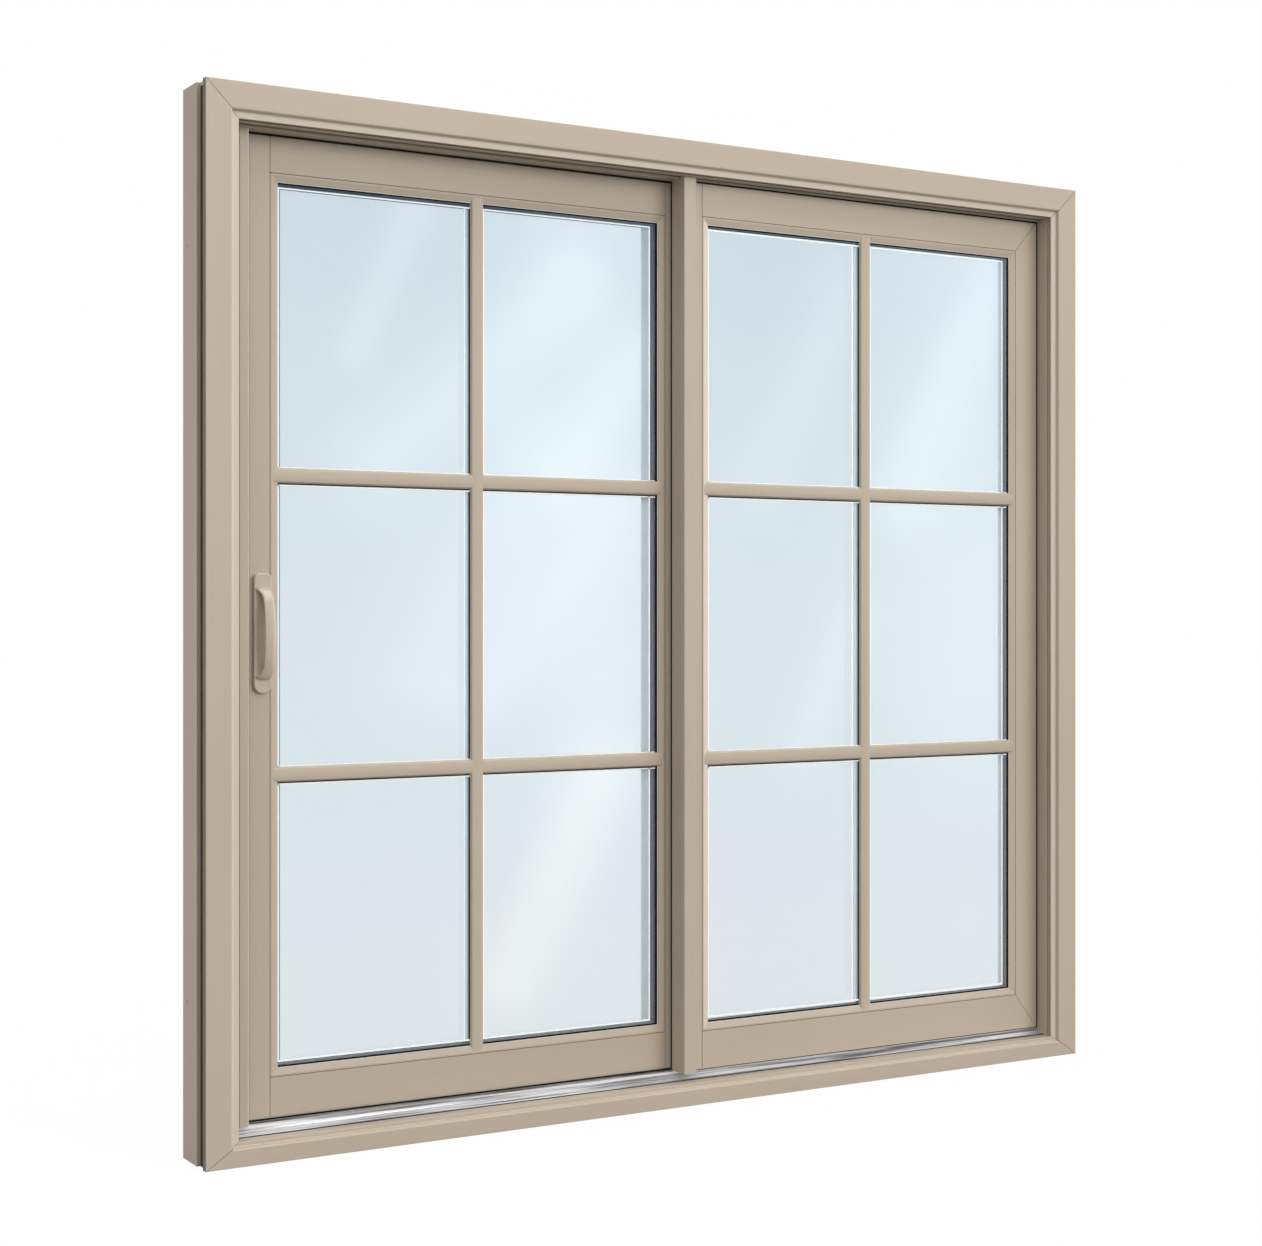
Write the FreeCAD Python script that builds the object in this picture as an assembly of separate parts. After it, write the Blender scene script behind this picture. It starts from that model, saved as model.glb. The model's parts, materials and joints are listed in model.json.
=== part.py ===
"""Two-panel sliding patio door with divided glazing, in millimetres.

The frame stands on its sill: X runs along the door to the right as seen from outside, Y runs into the
building and Z runs up. The origin is the middle of the sill's underside. The left panel slides to the
right, behind the fixed panel.
"""
import FreeCAD, Part
import math
import os

from FreeCAD import Vector

# Overall size of the frame
WIDTH = 2134.0
HEIGHT = 2032.0

# Depths, from the outside face of the casing towards the room
CASING_THICKNESS = 15.5
FIXED_SETBACK = 56.0
PANEL_THICKNESS = 27.0
PANEL_GAP = 6.0
CHANNEL_CLEARANCE = 5.5
REAR_STOP = 4.5

# Casing, mitred round the front of the frame
FRAME_FACE = 68.0
SILL_FACE = 45.0
CASING_FLAT = 52.0
CASING_STEP = 3.5
CASING_LEDGE_DEPTH = 9.0
CASING_ROUND = 4.0
CASING_EDGE_ROUND = 1.5
EDGE_GROOVE_START = 3.0
EDGE_GROOVE_END = 8.0
EDGE_GROOVE_DEPTH = 2.0

# Jambs, head and sill behind the casing
WALL_GROOVE_WIDTH = 33.0
WALL_GROOVE_DEPTH = 7.5
RIB_TO_POST = 0.5
RIB_WIDTH = 10.0
RIB_HEIGHT = 2.0
STOP_LEAD = 6.0
STOP_DROP = 5.0
HEAD_CHANNEL_DEPTH = 16.0
LOCK_STOP_WIDTH = 17.0
SILL_LAND = 22.5
SILL_BED_DROP = 5.0
COVER_WIDTH = 37.0

# Aluminium track on the sill
TRACK_SHEET = 3.0
TRACK_MARGIN = 1.5
TRACK_LIP_WIDTH = 2.5
TRACK_LIP_HEIGHT = 8.0
RAIL_HEIGHT = 20.0
OUTER_RAIL_WIDTH = 8.0
OUTER_RAIL_FOOT = 4.0
OUTER_RAIL_FOOT_HEIGHT = 11.0
ROLLER_RAIL_WIDTH = 6.0
DRAIN_RIB_WIDTH = 2.0
DRAIN_RIB_HEIGHT = 5.5
DRAIN_RIB_SPACING = 9.0
DRAIN_RIB_COUNT = 2

# Panels: stiles and rails around a glazing opening
LOCK_GAP = 8.0
LOCK_STILE = 85.0
INTERLOCK_STILE = 56.0
INTERLOCK_LAP = 43.0
MEETING_STILE = 60.0
POST_WIDTH = 30.0
POST_PROUD = 24.0
JAMB_STILE = 64.0
JAMB_STILE_GAP = 4.5
GLAZING_LOW = 142.0
GLAZING_HIGH_DROP = 146.0
RUN_CLEARANCE = 6.0
LIFT_CLEARANCE = 7.0
PANEL_ROUND = 1.5

# Glazing: beads, double glass and glazing bars
BEAD_WIDTH = 17.0
BEAD_FLAT = 4.0
BEAD_FALL = 4.5
BEAD_DEPTH = 6.5
BEAD_ROUND = 1.2
GLASS_THICKNESS = 3.0
GLASS_CAVITY = 10.0
GLASS_EDGE_GAP = 3.0
SPACER_INSET = 5.0
SPACER_SHOW = 3.0
BAR_WIDTH = 25.0
BAR_CREST = 15.0
BAR_TOP_DEPTH = 1.0
INNER_BAR_HEIGHT = 4.0
PANE_COLUMNS = 2
PANE_ROWS = 3

# Pull handles, one on each side of the lock stile
HANDLE_HEIGHT = 998.0
HANDLE_EDGE_DISTANCE = 67.0
HANDLE_PLATE_WIDTH = 36.0
HANDLE_PLATE_LENGTH = 231.0
HANDLE_PLATE_THICKNESS = 10.0
HANDLE_TOP_ROUND = 11.0
HANDLE_FOOT_ROUND = 17.5
HANDLE_EDGE_BEVEL = 2.0
GRIP_REACH = 25.5
GRIP_BOW = 6.0
GRIP_HALF_LENGTH = 87.0
GRIP_SHOULDER = 68.0
GRIP_SHOULDER_RADIUS = 26.0
GRIP_BOW_RADIUS = 400.0
GRIP_DEPTH = 9.0
GRIP_WIDTH = 21.5
GRIP_FOOT_WIDTH = 32.0
GRIP_FOOT_DEPTH = 11.0
GRIP_FOOT_LENGTH = 18.0
GRIP_FOOT_SINK = 1.0
GRIP_FOOT_BEVEL = 2.5
GRIP_EDGE_ROUND = 4.0
GRIP_ROOT = 3.0

# Lock plates, let in flush
LOCK_PLATE_WIDTH = 16.0
LOCK_PLATE_LENGTH = 160.0
LOCK_PLATE_THICKNESS = 1.5
LOCK_PLATE_ROUND = 7.5
LOCK_SLOT_WIDTH = 6.0
LOCK_SLOT_LENGTH = 40.0

# Rollers in the bottom rail
ROLLER_RADIUS = 14.0
ROLLER_WIDTH = 8.0
ROLLER_GAP = 0.3
ROLLER_SLOT_WIDTH = 12.0
ROLLER_SLOT_MARGIN = 4.0
ROLLER_INSET = 150.0
AXLE_RADIUS = 3.0

# Screw holes through the jambs and the head
SCREW_RADIUS = 2.75
JAMB_SCREW_SPACING = 1432.0
HEAD_SCREW_SPACING = 1200.0

# Places worked out from the sizes above
DEPTH = FIXED_SETBACK + 2 * PANEL_THICKNESS + PANEL_GAP + CHANNEL_CLEARANCE + REAR_STOP
LEFT = -WIDTH / 2
RIGHT = WIDTH / 2
FRONT = -DEPTH / 2
BACK = DEPTH / 2
CASING_BACK = FRONT + CASING_THICKNESS
FIXED_FACE = FRONT + FIXED_SETBACK
FIXED_BACK = FIXED_FACE + PANEL_THICKNESS
SLIDE_FACE = FIXED_BACK + PANEL_GAP
SLIDE_BACK = SLIDE_FACE + PANEL_THICKNESS
SLIDE_MIDDLE = (SLIDE_FACE + SLIDE_BACK) / 2
CHANNEL_FRONT = SLIDE_FACE - CHANNEL_CLEARANCE
CHANNEL_BACK = SLIDE_BACK + CHANNEL_CLEARANCE
DAYLIGHT_LEFT = LEFT + FRAME_FACE
DAYLIGHT_RIGHT = RIGHT - FRAME_FACE
SOFFIT = HEIGHT - FRAME_FACE - STOP_DROP
CHANNEL_ROOF = SOFFIT + HEAD_CHANNEL_DEPTH
SILL_BED = SILL_FACE - SILL_BED_DROP
RAIL_TOP = SILL_BED + RAIL_HEIGHT
GLAZING_HIGH = HEIGHT - GLAZING_HIGH_DROP

FIXED_LEFT = 0.0
FIXED_RIGHT = DAYLIGHT_RIGHT - JAMB_STILE_GAP
FIXED_BOTTOM = RAIL_TOP
FIXED_TOP = SOFFIT
SLIDE_LEFT = DAYLIGHT_LEFT + LOCK_GAP
SLIDE_RIGHT = FIXED_LEFT + INTERLOCK_LAP
SLIDE_BOTTOM = RAIL_TOP + RUN_CLEARANCE
SLIDE_TOP = CHANNEL_ROOF - LIFT_CLEARANCE

GLASS_FRONT = BEAD_DEPTH
CAVITY_FRONT = GLASS_FRONT + GLASS_THICKNESS
CAVITY_BACK = CAVITY_FRONT + GLASS_CAVITY
GLASS_BACK = CAVITY_BACK + GLASS_THICKNESS
HANDLE_X = SLIDE_LEFT + HANDLE_EDGE_DISTANCE


def along_x(x):
    """Plane across X: the outline's two numbers are Y and Z."""
    return lambda y, z: Vector(x, y, z)


def along_y(y):
    """Plane across Y: the outline's two numbers are X and Z."""
    return lambda x, z: Vector(x, y, z)


def along_z(z):
    """Plane across Z: the outline's two numbers are X and Y."""
    return lambda x, y: Vector(x, y, z)


def rounded_corner(before, corner, after):
    """Start, middle and end of the arc that rounds a corner given as (u, v, radius)."""
    u, v, radius = corner
    back = (before[0] - u, before[1] - v)
    ahead = (after[0] - u, after[1] - v)
    back_length = math.hypot(*back)
    ahead_length = math.hypot(*ahead)
    back = (back[0] / back_length, back[1] / back_length)
    ahead = (ahead[0] / ahead_length, ahead[1] / ahead_length)
    half = math.acos(back[0] * ahead[0] + back[1] * ahead[1]) / 2
    reach = radius / math.tan(half)
    inward = (back[0] + ahead[0], back[1] + ahead[1])
    inward_length = math.hypot(*inward)
    rise = (radius / math.sin(half) - radius) / inward_length
    start = (u + back[0] * reach, v + back[1] * reach)
    middle = (u + inward[0] * rise, v + inward[1] * rise)
    end = (u + ahead[0] * reach, v + ahead[1] * reach)
    return start, middle, end


def outline_edges(corners, plane, closed=True):
    """Lines and arcs through corners given as (u, v), or as (u, v, radius) where they are rounded."""
    edges = []
    last = len(corners) - 1
    previous = None
    first = None
    for index, corner in enumerate(corners):
        inner = closed or 0 < index < last
        if len(corner) == 3 and inner:
            after = corners[(index + 1) % len(corners)]
            start, middle, end = rounded_corner(corners[index - 1], corner, after)
        else:
            start = end = corner[:2]
            middle = None
        if previous is not None:
            edges.append(Part.makeLine(plane(*previous), plane(*start)))
        else:
            first = start
        if middle is not None:
            edges.append(Part.Arc(plane(*start), plane(*middle), plane(*end)).toShape())
        previous = end
    if closed:
        edges.append(Part.makeLine(plane(*previous), plane(*first)))
    return edges


def extrusion(corners, plane, run):
    """Solid made by carrying a closed outline along a straight run."""
    wire = Part.Wire(outline_edges(corners, plane))
    return Part.Face(wire).extrude(run)


def block(x0, x1, y0, y1, z0, z1):
    """Rectangular solid between two corners."""
    return Part.makeBox(x1 - x0, y1 - y0, z1 - z0, Vector(x0, y0, z0))


def rectangle(u0, u1, v0, v1):
    """Corners of a rectangle, counter-clockwise."""
    return [(u0, v0), (u1, v0), (u1, v1), (u0, v1)]


def trimmed(solid, corners):
    """The part of a solid inside an outline seen from the front, which cuts its mitres."""
    box = solid.BoundBox
    tool = extrusion(corners, along_y(box.YMin), Vector(0, box.YLength, 0))
    return solid.common(tool).Solids[0]


def mitred_frame(x0, x1, z0, z1, widths, section):
    """Four bars mitred round a rectangle. A section is (distance in from the edge, Y) for a width."""
    left, right, top, bottom = (widths[side] for side in ("left", "right", "top", "bottom"))
    inner = [(x0 + left, z0 + bottom), (x1 - right, z0 + bottom),
             (x1 - right, z1 - top), (x0 + left, z1 - top)]
    outer = rectangle(x0, x1, z0, z1)
    up = Vector(0, 0, z1 - z0)
    across = Vector(x1 - x0, 0, 0)
    bars = {
        "left": extrusion(section(left), lambda w, y: Vector(x0 + w, y, z0), up),
        "right": extrusion(section(right), lambda w, y: Vector(x1 - w, y, z0), up),
        "top": extrusion(section(top), lambda w, y: Vector(x0, y, z1 - w), across),
        "bottom": extrusion(section(bottom), lambda w, y: Vector(x0, y, z0 + w), across),
    }
    mitres = {
        "left": [outer[0], outer[3], inner[3], inner[0]],
        "right": [outer[1], outer[2], inner[2], inner[1]],
        "top": [outer[3], outer[2], inner[2], inner[3]],
        "bottom": [outer[0], outer[1], inner[1], inner[0]],
    }
    return {side: trimmed(bars[side], mitres[side]) for side in bars}


def casing_section(width):
    """Casing across its face: grooved edge, flat band, rounded step and a set-back inner ledge."""
    share = width / FRAME_FACE
    return [
        (0, CASING_BACK),
        (0, FRONT + EDGE_GROOVE_END),
        (EDGE_GROOVE_DEPTH, FRONT + EDGE_GROOVE_END),
        (EDGE_GROOVE_DEPTH, FRONT + EDGE_GROOVE_START),
        (0, FRONT + EDGE_GROOVE_START),
        (0, FRONT, CASING_EDGE_ROUND),
        (CASING_FLAT * share, FRONT, CASING_ROUND),
        ((CASING_FLAT + CASING_STEP) * share, FRONT + CASING_LEDGE_DEPTH, CASING_ROUND * share),
        (width, FRONT + CASING_LEDGE_DEPTH, CASING_EDGE_ROUND),
        (width, CASING_BACK),
    ]


def casing():
    """Four mitred casing pieces; the sill's is lower than the others."""
    widths = {"left": FRAME_FACE, "right": FRAME_FACE, "top": FRAME_FACE, "bottom": SILL_FACE}
    pieces = mitred_frame(LEFT, RIGHT, 0, HEIGHT, widths, casing_section)
    names = {"left": "left_casing", "right": "right_casing", "top": "head_casing", "bottom": "sill_casing"}
    return {names[side]: pieces[side] for side in pieces}


def frame_section():
    """Outline shared by the jambs and the head: outer side, back, then the ribbed inner face."""
    rib = FIXED_FACE - POST_PROUD - RIB_TO_POST - RIB_WIDTH
    return {
        "outer": [(WALL_GROOVE_DEPTH, CASING_BACK),
                  (WALL_GROOVE_DEPTH, CASING_BACK + WALL_GROOVE_WIDTH),
                  (0, CASING_BACK + WALL_GROOVE_WIDTH),
                  (0, BACK)],
        "inner": [(FRAME_FACE, rib + RIB_WIDTH),
                  (FRAME_FACE + RIB_HEIGHT, rib + RIB_WIDTH),
                  (FRAME_FACE + RIB_HEIGHT, rib),
                  (FRAME_FACE, rib),
                  (FRAME_FACE, CASING_BACK)],
    }


def screw_hole(start, direction, length):
    """Straight round cutter for a screw."""
    return Part.makeCylinder(SCREW_RADIUS, length, start, direction)


def jambs():
    """Side jambs, scribed to the head and the sill. The left one has a recess for the strike plate."""
    section = frame_section()
    outline = section["outer"] + [(FRAME_FACE, BACK)] + section["inner"]
    rise = Vector(0, 0, HEIGHT)
    left = extrusion(outline, lambda w, y: Vector(LEFT + w, y, 0), rise)
    right = extrusion(outline, lambda w, y: Vector(RIGHT - w, y, 0), rise)
    for side in (-1, 1):
        level = HEIGHT / 2 + side * JAMB_SCREW_SPACING / 2
        left = left.cut(screw_hole(Vector(LEFT, SLIDE_MIDDLE, level), Vector(1, 0, 0), FRAME_FACE))
        right = right.cut(screw_hole(Vector(RIGHT, SLIDE_MIDDLE, level), Vector(-1, 0, 0), FRAME_FACE))
    left = left.cut(lock_plate_blank(DAYLIGHT_LEFT - LOCK_PLATE_THICKNESS))
    between = [head_jamb()["head_jamb"], sill_and_track()["sill"]]
    return {"left_jamb": left.cut(between), "right_jamb": right.cut(between)}


def head_jamb():
    """Head between the jambs, with a channel that holds the sliding panel's top edge."""
    section = frame_section()
    soffit = FRAME_FACE + STOP_DROP
    roof = soffit - HEAD_CHANNEL_DEPTH
    stop = FIXED_FACE - STOP_LEAD
    channel = [(soffit, BACK), (soffit, CHANNEL_BACK), (roof, CHANNEL_BACK), (roof, CHANNEL_FRONT),
               (soffit, CHANNEL_FRONT), (soffit, stop), (FRAME_FACE, stop)]
    length = DAYLIGHT_RIGHT - DAYLIGHT_LEFT
    solid = extrusion(section["outer"] + channel + section["inner"],
                      lambda w, y: Vector(DAYLIGHT_LEFT, y, HEIGHT - w), Vector(length, 0, 0))
    for side in (-1, 1):
        start = Vector(side * HEAD_SCREW_SPACING / 2, SLIDE_MIDDLE, CHANNEL_ROOF)
        solid = solid.cut(screw_hole(start, Vector(0, 0, 1), HEIGHT - CHANNEL_ROOF))
    return {"head_jamb": solid}


def sill_and_track():
    """Sill with a front land, and the aluminium track that lies in its bed."""
    land_end = CASING_BACK + SILL_LAND
    length = Vector(DAYLIGHT_RIGHT - DAYLIGHT_LEFT, 0, 0)
    plane = along_x(DAYLIGHT_LEFT)
    sill = extrusion([(CASING_BACK, 0), (BACK, 0), (BACK, SILL_BED), (land_end, SILL_BED),
                      (land_end, SILL_FACE), (CASING_BACK, SILL_FACE)], plane, length)
    start = land_end + TRACK_MARGIN
    floor = SILL_BED + TRACK_SHEET
    outline = [(start, SILL_BED), (CHANNEL_BACK - TRACK_MARGIN, SILL_BED),
               (CHANNEL_BACK - TRACK_MARGIN, floor)]
    roller_rail = SLIDE_MIDDLE + ROLLER_RAIL_WIDTH / 2
    outline += [(roller_rail, floor), (roller_rail, RAIL_TOP, PANEL_ROUND),
                (roller_rail - ROLLER_RAIL_WIDTH, RAIL_TOP, PANEL_ROUND),
                (roller_rail - ROLLER_RAIL_WIDTH, floor)]
    outer_rail = (FIXED_FACE + FIXED_BACK) / 2 + OUTER_RAIL_WIDTH / 2
    outer_front = outer_rail - OUTER_RAIL_WIDTH
    foot = SILL_BED + OUTER_RAIL_FOOT_HEIGHT
    outline += [(outer_rail, floor), (outer_rail, RAIL_TOP), (outer_front, RAIL_TOP),
                (outer_front, foot), (outer_front - OUTER_RAIL_FOOT, foot),
                (outer_front - OUTER_RAIL_FOOT, floor)]
    for count in range(DRAIN_RIB_COUNT):
        rib = outer_front - OUTER_RAIL_FOOT - DRAIN_RIB_SPACING * (count + 1) + DRAIN_RIB_WIDTH
        crest = SILL_BED + DRAIN_RIB_HEIGHT
        outline += [(rib, floor), (rib, crest), (rib - DRAIN_RIB_WIDTH, crest),
                    (rib - DRAIN_RIB_WIDTH, floor)]
    outline += [(start + TRACK_LIP_WIDTH, floor), (start + TRACK_LIP_WIDTH, SILL_BED + TRACK_LIP_HEIGHT),
                (start, SILL_BED + TRACK_LIP_HEIGHT)]
    return {"sill": sill, "sill_track": extrusion(outline, plane, length)}


def rear_stops():
    """Strips behind the sliding panel: one up the lock side and one along the sill's back edge."""
    upright = block(DAYLIGHT_LEFT, DAYLIGHT_LEFT + LOCK_STOP_WIDTH, CHANNEL_BACK, BACK, RAIL_TOP, SOFFIT)
    level = block(DAYLIGHT_LEFT, DAYLIGHT_RIGHT, CHANNEL_BACK, BACK, SILL_BED, RAIL_TOP)
    return {"lock_jamb_stop": upright, "sill_back_stop": level}


def jamb_cover():
    """Upright cover strip that fills the outer track between the left jamb and the closed panel."""
    right = DAYLIGHT_LEFT + COVER_WIDTH
    outline = [(DAYLIGHT_LEFT, FIXED_BACK), (DAYLIGHT_LEFT, FIXED_FACE),
               (right, FIXED_FACE, PANEL_ROUND), (right, FIXED_BACK, PANEL_ROUND)]
    return {"jamb_cover": extrusion(outline, along_z(FIXED_BOTTOM), Vector(0, 0, FIXED_TOP - FIXED_BOTTOM))}


def lock_plate_blank(x):
    """Round-ended plate on edge, as long and wide as the lock plates, starting at x."""
    half_width = LOCK_PLATE_WIDTH / 2
    half_length = LOCK_PLATE_LENGTH / 2
    outline = rectangle(SLIDE_MIDDLE - half_width, SLIDE_MIDDLE + half_width,
                        HANDLE_HEIGHT - half_length, HANDLE_HEIGHT + half_length)
    corners = [(y, z, LOCK_PLATE_ROUND) for y, z in outline]
    return extrusion(corners, along_x(x), Vector(LOCK_PLATE_THICKNESS, 0, 0))


def lock_plates():
    """Strike plate on the jamb and lock plate on the stile, each with a slot for the latch."""
    plates = {"strike_plate": DAYLIGHT_LEFT - LOCK_PLATE_THICKNESS, "lock_plate": SLIDE_LEFT}
    slot_y = LOCK_SLOT_WIDTH / 2
    slot_z = LOCK_SLOT_LENGTH / 2
    nodes = {}
    for name, x in plates.items():
        slot = block(x, x + LOCK_PLATE_THICKNESS, SLIDE_MIDDLE - slot_y, SLIDE_MIDDLE + slot_y,
                     HANDLE_HEIGHT - slot_z, HANDLE_HEIGHT + slot_z)
        nodes[name] = lock_plate_blank(x).cut(slot)
    return nodes


def stile_body(x0, x1, face, z0, z1):
    """Plain stile with eased edges."""
    back = face + PANEL_THICKNESS
    corners = [(x0, back, PANEL_ROUND), (x0, face, PANEL_ROUND), (x1, face, PANEL_ROUND),
               (x1, back, PANEL_ROUND)]
    return extrusion(corners, along_z(z0), Vector(0, 0, z1 - z0))


def stile_lip(edge, face, toward_glass):
    """Upright lip behind the glass, from a stile's inner edge to the sight line."""
    start = edge - toward_glass * PANEL_ROUND
    end = edge + toward_glass * BEAD_WIDTH
    return block(min(start, end), max(start, end), face + GLASS_BACK, face + PANEL_THICKNESS,
                 GLAZING_LOW, GLAZING_HIGH)


def rail_body(x0, x1, face, z0, z1):
    """Plain rail with eased edges."""
    back = face + PANEL_THICKNESS
    corners = [(back, z0, PANEL_ROUND), (face, z0, PANEL_ROUND), (face, z1, PANEL_ROUND),
               (back, z1, PANEL_ROUND)]
    return extrusion(corners, along_x(x0), Vector(x1 - x0, 0, 0))


def rail_lip(opening, face, edge, toward_glass):
    """Level lip behind the glass, from a rail's inner edge to the sight line."""
    start = edge - toward_glass * PANEL_ROUND
    end = edge + toward_glass * BEAD_WIDTH
    return block(opening[0] + BEAD_WIDTH, opening[1] - BEAD_WIDTH, face + GLASS_BACK, face + PANEL_THICKNESS,
                 min(start, end), max(start, end))


def joined(body, lip):
    """One solid from a stile or rail and its lip."""
    return body.fuse(lip).removeSplitter()


def bead_section(face):
    """Bevelled glazing bead: a narrow flat, then a fall towards the glass."""
    def section(width):
        return [(0, face + BEAD_DEPTH), (0, face, BEAD_ROUND), (BEAD_FLAT, face, BEAD_ROUND),
                (width, face + BEAD_FALL, BEAD_ROUND / 2), (width, face + BEAD_DEPTH)]
    return section


def beads(opening, face):
    """Four beads mitred round a glazing opening."""
    widths = dict.fromkeys(("left", "right", "top", "bottom"), BEAD_WIDTH)
    pieces = mitred_frame(*opening, GLAZING_LOW, GLAZING_HIGH, widths, bead_section(face))
    return {"bead_" + side: pieces[side] for side in pieces}


def glass_unit(opening, face):
    """Two panes with a spacer between them, held between the beads and the lips."""
    left = opening[0] + GLASS_EDGE_GAP
    right = opening[1] - GLASS_EDGE_GAP
    low = GLAZING_LOW + GLASS_EDGE_GAP
    high = GLAZING_HIGH - GLASS_EDGE_GAP
    show = BEAD_WIDTH + SPACER_SHOW
    ring = block(left + SPACER_INSET, right - SPACER_INSET, face + CAVITY_FRONT, face + CAVITY_BACK,
                 low + SPACER_INSET, high - SPACER_INSET)
    inside = block(opening[0] + show, opening[1] - show, face + CAVITY_FRONT, face + CAVITY_BACK,
                   GLAZING_LOW + show, GLAZING_HIGH - show)
    return {
        "glass_outer": block(left, right, face + GLASS_FRONT, face + CAVITY_FRONT, low, high),
        "spacer": ring.cut(inside),
        "glass_inner": block(left, right, face + CAVITY_BACK, face + GLASS_BACK, low, high),
    }


def bar_centres(low, high, panes):
    """Middles of the bars that divide a sight opening into equal panes."""
    pane = (high - low - (panes - 1) * BAR_WIDTH) / panes
    return [low + pane * (count + 1) + BAR_WIDTH * (count + 0.5) for count in range(panes - 1)]


def bar_end(place, way, kind, meets):
    """A bar's end from the glass outwards, coped over a bead's fall or over a crossing bar's bevel."""
    foot, top = kind["foot"], kind["top"]
    if meets == "bar":
        return [(place - way * BAR_WIDTH / 2, foot), (place - way * BAR_CREST / 2, top)]
    if kind["cope"]:
        return [(place, foot), (place, kind["fall"]), (place + way * kind["cope"], top)]
    return [(place, foot), (place, top)]


def glazing_bar(side_view, centre, kind, upright):
    """Bar with bevelled sides, trimmed to its side view, which is given as (run, Y)."""
    half, crest = BAR_WIDTH / 2, BAR_CREST / 2
    section = [(centre - half, kind["foot"]), (centre + half, kind["foot"]),
               (centre + crest, kind["top"]), (centre - crest, kind["top"])]
    start = min(corner[0] for corner in side_view)
    length = max(corner[0] for corner in side_view) - start
    if upright:
        bar = extrusion(section, along_z(start), Vector(0, 0, length))
        shape = extrusion(side_view, lambda run, y: Vector(centre - half, y, run), Vector(BAR_WIDTH, 0, 0))
    else:
        bar = extrusion(section, lambda z, y: Vector(start, y, z), Vector(length, 0, 0))
        shape = extrusion(side_view, along_z(centre - half), Vector(0, 0, BAR_WIDTH))
    return bar.common(shape).Solids[0]


def glazing_bars(opening, face):
    """Upright bars from bead to bead, and cross bars coped between them, outside and inside the glass."""
    left, right = opening[0] + BEAD_WIDTH, opening[1] - BEAD_WIDTH
    low, high = GLAZING_LOW + BEAD_WIDTH, GLAZING_HIGH - BEAD_WIDTH
    cope = (BEAD_FALL - BAR_TOP_DEPTH) * (BEAD_WIDTH - BEAD_FLAT) / BEAD_FALL
    outside = {"foot": face + GLASS_FRONT, "top": face + BAR_TOP_DEPTH, "fall": face + BEAD_FALL,
               "cope": cope}
    inside = {"foot": face + GLASS_BACK, "top": face + GLASS_BACK + INNER_BAR_HEIGHT, "cope": 0.0}
    columns = bar_centres(left, right, PANE_COLUMNS)
    rows = bar_centres(low, high, PANE_ROWS)
    stops = [(left, "bead")] + [(centre, "bar") for centre in columns] + [(right, "bead")]
    uprights = []
    crosses = []
    for kind in (outside, inside):
        view = bar_end(low, -1, kind, "bead") + bar_end(high, 1, kind, "bead")[::-1]
        uprights += [glazing_bar(view, centre, kind, True) for centre in columns]
        for start, end in zip(stops, stops[1:]):
            view = bar_end(start[0], -1, kind, start[1]) + bar_end(end[0], 1, kind, end[1])[::-1]
            crosses += [glazing_bar(view, centre, kind, False) for centre in rows]
    return {"upright_bars": Part.makeCompound(uprights), "cross_bars": Part.makeCompound(crosses)}


def glazing(prefix, opening, face):
    """Everything inside a panel's glazing opening, named after the panel."""
    pieces = {}
    pieces.update(beads(opening, face))
    pieces.update(glass_unit(opening, face))
    pieces.update(glazing_bars(opening, face))
    return {prefix + name: piece for name, piece in pieces.items()}


def meeting_stile():
    """Fixed panel's meeting stile, with the post that stands proud of the panel's face."""
    post_front = FIXED_FACE - POST_PROUD
    corners = [(FIXED_LEFT, FIXED_BACK, PANEL_ROUND), (FIXED_LEFT, post_front, PANEL_ROUND),
               (FIXED_LEFT + POST_WIDTH, post_front, PANEL_ROUND), (FIXED_LEFT + POST_WIDTH, FIXED_FACE),
               (FIXED_LEFT + MEETING_STILE, FIXED_FACE, PANEL_ROUND),
               (FIXED_LEFT + MEETING_STILE, FIXED_BACK, PANEL_ROUND)]
    body = extrusion(corners, along_z(FIXED_BOTTOM), Vector(0, 0, FIXED_TOP - FIXED_BOTTOM))
    cap_corners = [(FIXED_LEFT, FIXED_FACE - STOP_LEAD), (FIXED_LEFT, post_front, PANEL_ROUND),
                   (FIXED_LEFT + POST_WIDTH, post_front, PANEL_ROUND),
                   (FIXED_LEFT + POST_WIDTH, FIXED_FACE - STOP_LEAD)]
    cap = extrusion(cap_corners, along_z(FIXED_TOP), Vector(0, 0, STOP_DROP))
    lip = stile_lip(FIXED_LEFT + MEETING_STILE, FIXED_FACE, 1)
    return body.fuse([cap, lip]).removeSplitter()


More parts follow.
